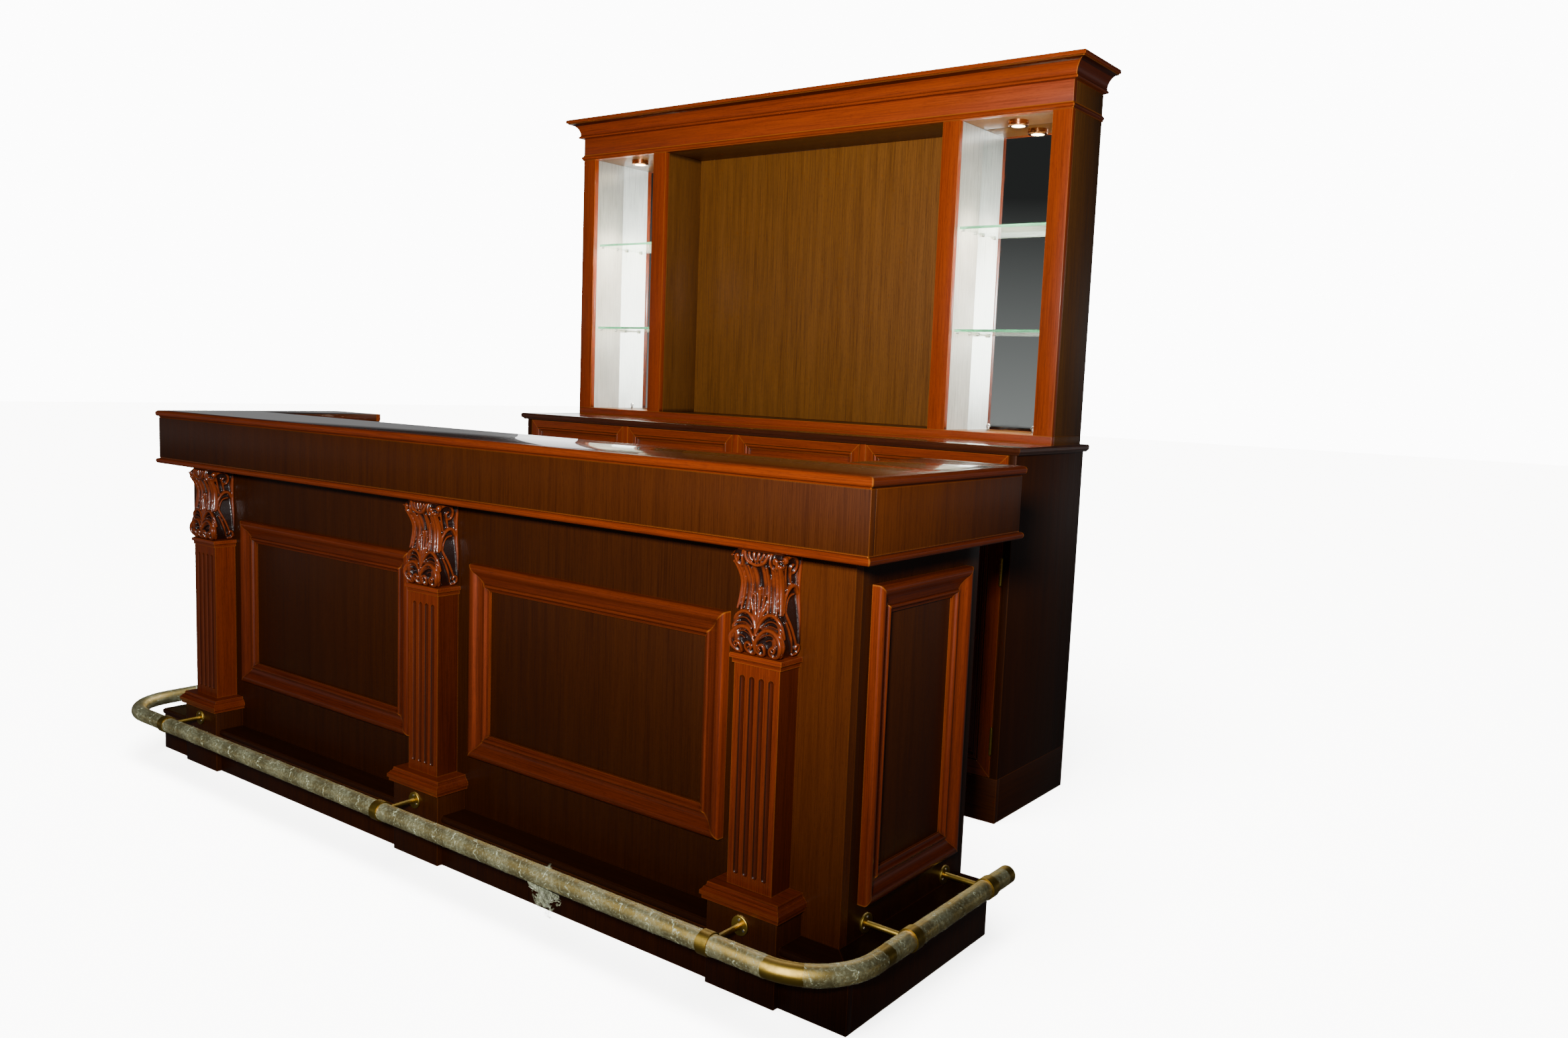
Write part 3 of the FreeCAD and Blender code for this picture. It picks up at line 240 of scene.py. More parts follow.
class HomeBarStage(PropertyGroup):
    """Floor, light and camera."""
    floor: colour("Floor", "Plain pale floor", "#f3f2f0")
    floor_size: length("Floor size", "Side of the square floor", 60000)
    floor_sun: number("Floor light", "Strength of the light on the floor", 42, min=0)
    sky: number("Backdrop", "Brightness of the white backdrop", 12, min=0)
    room: number("Room light", "Soft light from all around", 0.05, min=0)
    room_level: number("Room at eye level", "Brightness of the room at the height of the eyes",
                       0.3, min=0)
    key_power: power("Key light", "Power of the soft light by the camera", 205)
    key_size: length("Key light size", "Side of the soft light by the camera", 400)
    key_spread: angle("Key light spread", "Opening of the key light", 134)
    shine_power: power("Metal light", "Power of the light on the metals", 235)
    bounce_power: power("Floor bounce", "Power of the light that the room gives the metals", 110)
    shine_size: length("Metal light size", "Side of the light on the metals", 3000)
    far_power: power("Far light", "Power of the light behind the bars", 40)
    far_size: length("Far light size", "Side of the light behind the bars", 2200)
    lamp_power: power("Niche lamp", "Power of the lamp in each niche", 11)
    lamp_colour: colour("Niche lamp colour", "Light of the lamp in each niche", "#ffeed6")
    lamp_spread: angle("Niche lamp spread", "Opening of the lamp in each niche", 66)
    camera_place: FloatVectorProperty(
        name="Camera", description="Place of the photograph's camera", subtype="TRANSLATION",
        size=3, unit="LENGTH", default=(2467.64 * MM, -2595.69 * MM, 1237.01 * MM))
    camera_heading: angle("Heading", "Turn of the camera to the left", 36.566)
    camera_fall: angle("Fall", "How far the camera looks down", 6.573)
    camera_roll: angle("Roll", "Turn of the picture about its middle", 2.26)
    camera_lens: number("Lens", "Focal length", 27.606, subtype="DISTANCE_CAMERA")
    camera_sensor: number("Sensor", "Width of the sensor", 36, subtype="DISTANCE_CAMERA")


class HomeBarSettings(PropertyGroup):
    """Everything that a user may change."""
    wood: PointerProperty(type=HomeBarWood)
    metal: PointerProperty(type=HomeBarMetal)
    carving: PointerProperty(type=HomeBarCarving)
    stage: PointerProperty(type=HomeBarStage)


# Materials

def adder(tree):
    """The function that adds nodes to a tree."""
    def add(kind, inputs=(), out=0, **settings):
        """Add a node, apply its settings, fill or link its inputs, and give one output."""
        node = tree.nodes.new("ShaderNode" + kind)
        for key, value in settings.items():
            setattr(node, key, value)
        for key, value in inputs.items() if isinstance(inputs, dict) else enumerate(inputs):
            if isinstance(value, bpy.types.NodeSocket):
                tree.links.new(value, node.inputs[key])
            else:
                node.inputs[key].default_value = value
        return node.outputs[out] if node.outputs else None
    return add


def opaque(shade):
    """A colour with full cover, as a shader socket takes it."""
    return (*shade, 1.0)


def new_material(name):
    """An empty material and the function that adds nodes to it."""
    material = bpy.data.materials.new(name)
    material.use_nodes = True
    material.node_tree.nodes.clear()
    return material, adder(material.node_tree)


def closed(material, inputs):
    """Close a material with its shader."""
    add = adder(material.node_tree)
    add("OutputMaterial", [add("BsdfPrincipled", inputs)])
    return material


def patches(add, sizes, detail, place=None):
    """A cloudy pattern from the real size of its patches along the three directions."""
    if place is None:
        place = add("TexCoord", out="Object")
    scaled = add("VectorMath", (place, [1 / size for size in sizes]), operation="MULTIPLY")
    return add("TexNoise", {"Vector": scaled, "Scale": 1.0, "Detail": detail, "Roughness": 0.6})


# Finishes of the woods by slot: material, shades, roughness, shine, coat, roughness of the coat,
# strength of the ribbon figure, and how far a rubbed edge with its painted highlight shows
WOODS = {
    # Quarter cut veneer under satin lacquer: upright ribbons that go from brown to gold
    "mahogany_veneer": ("mahogany_veneer_satin", "veneer", 0.42, 0.16, 0.06, 0.25, 0.45, 0.22),
    # Solid mahogany, stained red and lacquered: deep orange in the light, red in the shade
    "mahogany_moulding": ("red_mahogany_lacquer", "moulding", 0.35, 0.3, 0.2, 0.12, 0.35, 0.65),
    # Many coats of gloss lacquer over veneer: the room stands in it like in dark water
    "lacquered_top": ("gloss_lacquered_mahogany", "top", 0.3, 0.5, 1.0, 0.03, 0.5, 0.3),
    # Lighter veneer of the recess: golden brown with clear upright figure
    "recess_veneer": ("golden_recess_veneer", "recess", 0.42, 0.25, 0.12, 0.25, 0.3, 0.22),
    # Plain matt board on the unseen sides
    "inner_boards": ("matt_inner_board", "veneer", 0.55, 0.25, 0.0, 0.4, 0.3, 0.2),
    # Clear lacquered birch: pale, with fine quiet grain
    "drawer_birch": ("clear_lacquered_birch", "birch", 0.45, 0.4, 0.2, 0.25, 0.4, 0.1),
}


def wood_finish(wood, name, shades, roughness, shine, coat, coat_roughness, figure, edge_wear_and_highlight):
    """Lacquered wood: long streaks, a ribbon figure, short pores, one tone for each board."""
    material, add = new_material(name)
    dark, middle, light = [opaque(getattr(wood, shades + "_" + shade)) for shade in SHADES]
    place = add("Attribute", out="Vector", attribute_name="grain")
    tone = add("Attribute", out="Fac", attribute_name="tone")
    worn = add("Attribute", out="Fac", attribute_name="worn")
    streaks, bands, pores = [
        patches(add, (along, across, across), detail, place) for along, across, detail in
        ((wood.streak_length, wood.streak_width, 3.0), (wood.band_length, wood.band_width, 2.0),
         (wood.pore_length, wood.pore_width, 1.0))]
    shade = dark
    for pattern, start, end, most, over in ((streaks, 0.28, 0.58, 1.0, middle),
                                            (bands, 0.35, 0.75, figure, light),
                                            (pores, 0.58, 0.7, 0.55, dark)):
        share = add("MapRange", (pattern, start, end, 0.0, most))
        shade = add("Mix", {0: share, 6: shade, 7: over}, 2, data_type="RGBA")
    shade = add("HueSaturation", {"Value": tone, "Color": shade})
    # Hollows of a profile and inner corners are painted darker where they are occluded: partly
    # gathered stain and polish, partly painted shade
    free = add("AmbientOcclusion", {"Distance": wood.crease_stain_and_shade_reach}, "AO", samples=4,
               only_local=True)
    stained_and_shaded = add("MapRange", (free, 0.5, 0.99, 0.93, 0.0))
    # Every raised edge is painted lighter: partly stain thinned by rubbing, partly a painted
    # highlight
    inside = add("AmbientOcclusion", {"Distance": wood.edge_reach}, "AO", samples=4,
                 inside=True, only_local=True)
    edge = add("MapRange", (inside, 0.5, 0.85, edge_wear_and_highlight, 0.0))
    worn_and_lit_edge = add("Math", (worn, edge_wear_and_highlight / 2, edge), operation="MULTIPLY_ADD", use_clamp=True)
    for share, over in ((stained_and_shaded, wood.crease_stain_and_shade), (worn_and_lit_edge, wood.worn)):
        shade = add("Mix", {0: share, 6: shade, 7: opaque(over)}, 2, data_type="RGBA")
    height = add("Math", (streaks, pores), operation="SUBTRACT")
    relief = add("Bump", {"Strength": 0.2, "Distance": 0.2 * MM, "Height": height})
    dull = add("MapRange", (streaks, 0.2, 0.8, roughness - 0.05, roughness + 0.08))
    return closed(material, {"Base Color": shade, "Normal": relief, "IOR": 1.5,
                             "Specular IOR Level": shine, "Roughness": dull,
                             "Coat Weight": coat, "Coat Roughness": coat_roughness})


def carved_finish(settings):
    """Carved, stained and lacquered mahogany: stain and painted shade darken the hollows, lacquer
    shines.
    """
    wood = settings.wood
    material, add = new_material("carved_mahogany_lacquer")
    hollow = add("Attribute", out="Fac", attribute_name="hollow")
    fibres = patches(add, (2 * MM, 2 * MM, 40 * MM), 3.0)
    streak = add("MapRange", (fibres, 0.3, 0.7, 0.0, 0.5))
    free = add("AmbientOcclusion", {"Distance": wood.crease_stain_and_shade_reach}, "AO", samples=6,
               only_local=True)
    deep = add("MapRange", (free, 0.3, 0.85, 1.0, 0.0))
    stained_and_shaded = add("Math", (hollow, deep), operation="MAXIMUM")
    shade = opaque(wood.carving)
    for share, over in ((streak, wood.moulding_dark), (stained_and_shaded, wood.carving_hollow)):
        shade = add("Mix", {0: share, 6: shade, 7: opaque(over)}, 2, data_type="RGBA")
    # Gouge marks roughen the ground, so the lacquer glints there in many small points
    gouges = patches(add, (2.6 * MM, 2.6 * MM, 5 * MM), 2.0)
    marks = add("Math", (gouges, hollow), operation="MULTIPLY")
    height = add("Math", (marks, 5.0, fibres), operation="MULTIPLY_ADD")
    relief = add("Bump", {"Strength": 0.5, "Distance": 0.3 * MM, "Height": height})
    dull = add("MapRange", (hollow, 0.0, 1.0, 0.3, 0.4))
    return closed(material, {"Base Color": shade, "Normal": relief, "IOR": 1.5,
                             "Roughness": dull, "Coat Weight": 0.7, "Coat Roughness": 0.12})


def brass_finish(settings):
    """Satin brass that has dulled in patches, so its shine is broad and uneven."""
    metal = settings.metal
    material, add = new_material("dulled_satin_brass")
    dulled = patches(add, [35 * MM] * 3, 4.0)
    smears = patches(add, [5 * MM] * 3, 3.0)
    share = add("MapRange", (dulled, 0.4, 0.65))
    shade = add("Mix", {0: share, 6: opaque(metal.brass), 7: opaque(metal.brass_dull)}, 2,
                data_type="RGBA")
    relief = add("Bump", {"Strength": 0.1, "Distance": 0.1 * MM, "Height": smears})
    dull = add("MapRange", (dulled, 0.35, 0.7, 0.31, 0.46))
    return closed(material, {"Base Color": shade, "Metallic": 1.0, "Normal": relief,
                             "Roughness": dull})


# Finishes of one even colour and a clouded roughness, by slot: material, colour, size of the
# clouds in millimetres, their detail, where they start and end, the roughness at both, whether
# it is a metal, and how much it glows
EVEN = {
    # Copper plate, evenly polished, that gives the lamps a warm rim
    "copper": ("polished_copper_plate", "copper", 8, 3.0, 0.3, 0.7, 0.16, 0.3, 1.0, 0.0),
    # Zinc plated steel: a grey metal with faint clouded grains
    "steel": ("zinc_plated_steel", "steel", 3, 2.0, 0.3, 0.7, 0.25, 0.42, 1.0, 0.0),
    # Silvered float glass: a clear reflection with a trace of green and dust
    "mirror": ("silvered_float_glass", "mirror", 60, 5.0, 0.5, 0.8, 0.01, 0.08, 1.0, 0.0),
    # Frosted lamp glass that glows warm white
    "lamp_glass": ("frosted_lamp_glass", "lens", 4, 2.0, 0.3, 0.7, 0.4, 0.6, 0.0, 25.0),
}


def even_finish(metal, name, shade, size, detail, start, end, smooth, rough, metallic, glow):
    """A finish of one even colour and a clouded roughness."""
    material, add = new_material(name)
    clouds = patches(add, [size * MM] * 3, detail)
    dull = add("MapRange", (clouds, start, end, smooth, rough))
    shade = opaque(getattr(metal, shade))
    return closed(material, {"Base Color": shade, "Metallic": metallic, "Roughness": dull,
                             "Emission Color": shade, "Emission Strength": glow})


def lining_finish(settings):
    """Pale brushed metal laminate: fine upright brush lines that widen every highlight."""
    material, add = new_material("brushed_satin_laminate")
    # A real brush line is a few hundredths of a millimetre wide, so it is drawn coarser
    brush = patches(add, (1.2 * MM, 1.2 * MM, 160 * MM), 3.0)
    clouds = patches(add, (90 * MM, 90 * MM, 140 * MM), 3.0)
    value = add("MapRange", (clouds, 0.3, 0.7, 0.82, 1.06))
    shade = add("HueSaturation", {"Value": value, "Color": opaque(settings.metal.lining)})
    relief = add("Bump", {"Strength": 0.15, "Distance": 0.1 * MM, "Height": brush})
    dull = add("MapRange", (brush, 0.3, 0.7, 0.24, 0.38))
    return closed(material, {"Base Color": shade, "Metallic": 0.6, "Normal": relief,
                             "Roughness": dull})


def glass_finish(settings):
    """Clear float glass with ground edges, which show the green of the glass."""
    metal = settings.metal
    material, add = new_material("float_glass_ground_edges")
    upward = add("SeparateXYZ", [add("NewGeometry", out="Normal")], "Z")
    flat = add("Math", [upward], operation="ABSOLUTE")
    shade = add("Mix", {0: flat, 6: opaque(metal.glass_edge), 7: opaque(metal.glass)}, 2,
                data_type="RGBA")
    dull = add("MapRange", (flat, 0.0, 1.0, 0.25, 0.02))
    return closed(material, {"Base Color": shade, "Roughness": dull,
                             "Transmission Weight": 0.92, "IOR": 1.52})


def film_finish(name, metal, flat):
    """Clear stretch film: glossy, nearly clear where it lies flat and white on its wrinkles."""
    material, add = new_material(name)
    wrap = add("Attribute", out="Vector", attribute_name="wrap")
    crackle = patches(add, [6 * MM] * 3, 5.0)
    drift = patches(add, [30 * MM] * 3, 3.0)
    along, side, rise = [add("SeparateXYZ", [wrap], axis) for axis in "XYZ"]
    about = add("Math", (rise, side), operation="ARCTAN2")
    turn = add("Math", (about, 0.5 / math.pi, along), operation="MULTIPLY_ADD")
    wander = add("Math", (drift, 0.9, turn), operation="MULTIPLY_ADD")
    # Two layers lie over each other in half of every turn, and that half is whiter
    half = add("Math", (wander, 1.0), operation="PINGPONG")
    double = add("MapRange", (half, 0.42, 0.6, flat, flat + 0.1))
    dusty = add("MapRange", (crackle, 0.45, 0.75, 0.5, 1.4))
    cover = add("Math", (double, dusty), operation="MULTIPLY")
    broken = add("MapRange", (crackle, 0.42, 0.62))
    # Wrinkles run with the turns of the wrapping: wide ones at its edge, fine ones between
    for count, width, strength in ((1, 0.04, 0.8), (6, 0.06, 0.42), (13, 0.08, 0.32)):
        scaled = add("Math", (wander, count), operation="MULTIPLY")
        fold = add("Math", (scaled, 0.5), operation="PINGPONG")
        line = add("MapRange", (fold, 0.0, width, strength, 0.0))
        cover = add("Math", (line, broken, cover), operation="MULTIPLY_ADD")
    relief = add("Bump", {"Strength": 0.7, "Distance": 1.2 * MM, "Height": cover})
    return closed(material, {"Base Color": opaque(metal.film), "Roughness": 0.14,
                             "Normal": relief, "IOR": 1.5, "Alpha": cover,
                             "Coat Weight": 0.5, "Coat Roughness": 0.06})


OWN_FINISHES = {"carved_mahogany": carved_finish, "brass": brass_finish,
                "satin_lining": lining_finish, "glass": glass_finish}
finishes = {}


def finish_of(slot, context):
    """The material of one of the record's slots, made once."""
    settings = context.scene.home_bar
    if slot not in finishes:
        if slot in WOODS:
            finishes[slot] = wood_finish(settings.wood, *WOODS[slot])
        elif slot in EVEN:
            finishes[slot] = even_finish(settings.metal, *EVEN[slot])
        elif slot in OWN_FINISHES:
            finishes[slot] = OWN_FINISHES[slot](settings)
        else:
            raise RuntimeError("no finish is known for the slot " + slot)
    return finishes[slot]


def slot_of(node):
    """The record's slot of a CAD node, which is its packed material's name."""
    return frame["nodes"][node].data.materials[0].name.split(".")[0]


def look_of(node, context):
    """The material that a CAD node shows."""
    return finish_of(OTHER_FINISH.get(node, slot_of(node)), context)


def body_of(node):
    """The body that a CAD node rides on."""
    return frame["nodes"][node]["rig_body"]


def repaint(node, context):
    """Give a CAD node that stays its finished material."""
    finish = look_of(node, context)
    for index in range(len(frame["nodes"][node].material_slots)):
        frame["nodes"][node].material_slots[index].link = "OBJECT"
        frame["nodes"][node].material_slots[index].material = finish


# Meshes

def put(name, data, context):
    """A new object of some data in the scene, at the origin."""
    holder = bpy.data.objects.new(name, data)
    context.scene.collection.objects.link(holder)
    return holder


def new_light(name, kind, context, **settings):
    """A new light of a kind with its settings."""
    light = bpy.data.lights.new(name, kind)
    for key, value in settings.items():
        setattr(light, key, value)
    return put(name, light, context)


def piece_from(bm, name, material, context):
    """Turn a finished bmesh into an object at the origin."""
    mesh = bpy.data.meshes.new(name)
    bm.to_mesh(mesh)
    bm.free()
    mesh.materials.append(material)
    return put(name, mesh, context)


def taken(holder, shown):
    """A bmesh of an object as it is shown, after which the object goes."""
    mesh = bpy.data.meshes.new_from_object(shown)
    bm = bmesh.new()
    bm.from_mesh(mesh)
    bpy.data.objects.remove(holder)
    bpy.data.meshes.remove(mesh)
    return bm


def join(whole, bm):
    """Add a bmesh to another one and free it."""
    part = bpy.data.meshes.new("part")
    bm.to_mesh(part)
    bm.free()
    whole.from_mesh(part)
    bpy.data.meshes.remove(part)


def solid_ranges(mesh):
    """First and last triangle of each closed solid of a CAD node's mesh."""
    keys = [tuple(round(value / MERGE) for value in vertex.co) for vertex in mesh.vertices]
    open_edges = set()
    start = 0
    ranges = []
    for polygon in mesh.polygons:
        corners = [keys[index] for index in polygon.vertices]
        for pair in zip(corners, corners[1:] + corners[:1]):
            if pair[::-1] in open_edges:
                open_edges.remove(pair[::-1])
            else:
                open_edges.add(pair)
        if not open_edges:
            ranges.append((start, polygon.index + 1))
            start = polygon.index + 1
    return ranges


def cad_solids(node):
    """A merged copy of each solid of a CAD node."""
    mesh = frame["nodes"][node].data
    solids = []
    for start, end in solid_ranges(mesh):
        bm = bmesh.new()
        bm.from_mesh(mesh)
        others = [face for face in bm.faces if not start <= face.index < end]
        bmesh.ops.delete(bm, geom=others, context="FACES")
        bmesh.ops.remove_doubles(bm, verts=bm.verts, dist=MERGE)
        solids.append(bm)
    return solids


def corners_of(bm):
    """Lowest and highest corner of a bmesh."""
    return [Vector([pick(vert.co[axis] for vert in bm.verts) for axis in range(3)])
            for pick in (min, max)]


def boxes_of(node):
    """Lowest and highest corner of each solid of a CAD node."""
    solids = cad_solids(node)
    boxes = [corners_of(bm) for bm in solids]
    for bm in solids:
        bm.free()
    return boxes


def soften(bm, width):
    """Round the sharp edges of a bmesh; the result is the new faces."""
    sharp = [edge for edge in bm.edges if edge.calc_face_angle(0) > SHARP]
    return bmesh.ops.bevel(bm, geom=sharp, offset=width, offset_type="OFFSET", segments=2,
                           profile=0.5, affect="EDGES", clamp_overlap=True, material=-1)["faces"]


def shade_strips(bm, node):
    """Part a board where its strips meet and give each strip its shade: painted light on the
    wall's last leaf, a painted shadow under the crown's cap.
    """
    if node == "crown":
        axis = 2
        low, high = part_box(node)
        seams = [low.z + (high.z - low.z) * share for share in CROWN_SHADOW]
    else:
        axis = 0
        seams = sorted((low.x + high.x) / 2 for low, high in boxes_of("pilaster_shafts"))
    way = Vector([float(other == axis) for other in range(3)])
    for seam in seams:
        bmesh.ops.bisect_plane(bm, geom=bm.verts[:] + bm.edges[:] + bm.faces[:], dist=MERGE,
                               plane_co=way * seam, plane_no=way)
    tone = bm.faces.layers.float["tone"]
    for face in bm.faces:
        place = face.calc_center_median()[axis]
        face[tone] *= STRIPS[node][sum(place > seam for seam in seams)]


def shade_faces(bm, node):
    """Paint shade on the faces that look away to the ends and on those in a hollow; where a factor
    is above one it paints light instead.
    """
    low, high = corners_of(bm)
    tone = bm.faces.layers.float["tone"]
    for face in bm.faces:
        centre = face.calc_center_median()
        if abs(face.normal.x) > END_FACING and face.normal.x * centre.x > 0:
            face[tone] *= END_FACE_PAINTED_LIGHT_AND_SHADE.get(node, 1.0)
        if all(low[axis] + MM < centre[axis] < high[axis] - MM for axis in range(3)):
            face[tone] *= HOLLOW_PAINTED_SHADE.get(node, 1.0)


def lay_grain(bm, upright, depth, chance):
    """Store where each point lies along and across its own board's grain, and its shade."""
    low, high = corners_of(bm)
    size = high - low
    along = 2 if upright else max(range(3), key=lambda axis: size[axis])
    order = [along, (along + 1) % 3, (along + 2) % 3]
    shift = Vector([chance.uniform(-5, 5) for _ in range(3)])
    shade = depth * chance.uniform(*TONES)
    # Sticks that run back along the ends get painted shade
    if not upright and size.y > 2 * max(size.x, size.z):
        shade *= END_STICK_PAINTED_SHADE
    place = bm.verts.layers.float_vector.new("grain")
    tone = bm.faces.layers.float.new("tone")
    for vert in bm.verts:
        vert[place] = Vector([vert.co[axis] for axis in order]) + shift
    for face in bm.faces:
        face[tone] = shade


def dress(node, context):
    """Stand a CAD node's wooden boards in for it, each with its own grain and soft edges."""
    chance = random.Random(node)
    whole = bmesh.new()
    for bm in cad_solids(node):
        bmesh.ops.dissolve_limit(bm, angle_limit=FLAT, verts=bm.verts, edges=bm.edges)
        if len(bm.faces) <= PLAIN_FACES:
            # Softened edges are marked for the lighter edge colour: rubbed wear and painted
            # highlight
            worn = bm.faces.layers.float.new("worn")
            for face in soften(bm, context.scene.home_bar.wood.arris):
                face[worn] = 1.0
        # Each board's darkening, painted shade on the bar's sides, goes into its tone
        lay_grain(bm, node in UPRIGHT_GRAIN, DARKER_AND_PAINTED_SHADE.get(node.rstrip("_1234"), 1.0), chance)
        shade_faces(bm, node)
        if node in STRIPS:
            shade_strips(bm, node)
        join(whole, bm)
    for face in whole.faces:
        face.smooth = True
    for edge in whole.edges:
        edge.smooth = edge.calc_face_angle(0) < SMOOTH
    piece = piece_from(whole, node + "_boards", look_of(node, context), context)
    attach(piece, body_of(node))
    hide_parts(node)
    slot_of(node)


class RailLine:
    """The middle line of the foot rail: an arm, a bend, the front, a bend and an arm."""

    def __init__(self, low, high, tube, bend):
        self.left = low.x + tube
        self.right = high.x - tube
        self.front = low.y + tube
        self.back = high.y
        self.level = low.z + tube
        self.bend = bend
        self.arm = self.back - self.front - bend
        self.arc = bend * math.pi / 2
        self.length = 2 * self.arm + 2 * self.arc + self.right - self.left - 2 * bend

    def bezier(self):
        """Points of the line with the ways to their handles."""
        reach = self.bend
        # Share of a bend's radius at which a handle draws a quarter circle
        handle = 0.5523 * reach
        inner = self.front + reach
        up = Vector((0, 1, 0))
        out = Vector((1, 0, 0))
        rows = [(self.left, self.back, -up, reach, reach),
                (self.left, inner, -up, reach, handle),
                (self.left + reach, self.front, out, handle, reach),
                (self.right - reach, self.front, out, reach, handle),
                (self.right, inner, up, handle, reach),
                (self.right, self.back, up, reach, reach)]
        return [(Vector((x, y, self.level)), way * before, way * after)
                for x, y, way, before, after in rows]

    def along(self, place):
        """Distance along the line, the line's nearest point, and the way out of the loop."""
        inner = self.front + self.bend
        side = -1 if place.x < 0 else 1
        end = self.left if side < 0 else self.right
        turn = end - side * self.bend
        if place.y > inner:
            distance = self.back - place.y
            core = Vector((end, place.y, self.level))
            outward = Vector((side, 0, 0))
        elif side * place.x <= side * turn:
            distance = self.arm + self.arc - side * (place.x - turn)
            core = Vector((place.x, self.front, self.level))
            outward = Vector((0, -1, 0))
        else:
            centre = Vector((turn, inner, self.level))
            outward = Vector((place.x - centre.x, place.y - centre.y, 0)).normalized()
            core = centre + outward * self.bend
            distance = self.arm + self.arc - self.bend * math.atan2(abs(outward.x), -outward.y)
        return distance if side < 0 else self.length - distance, core, outward


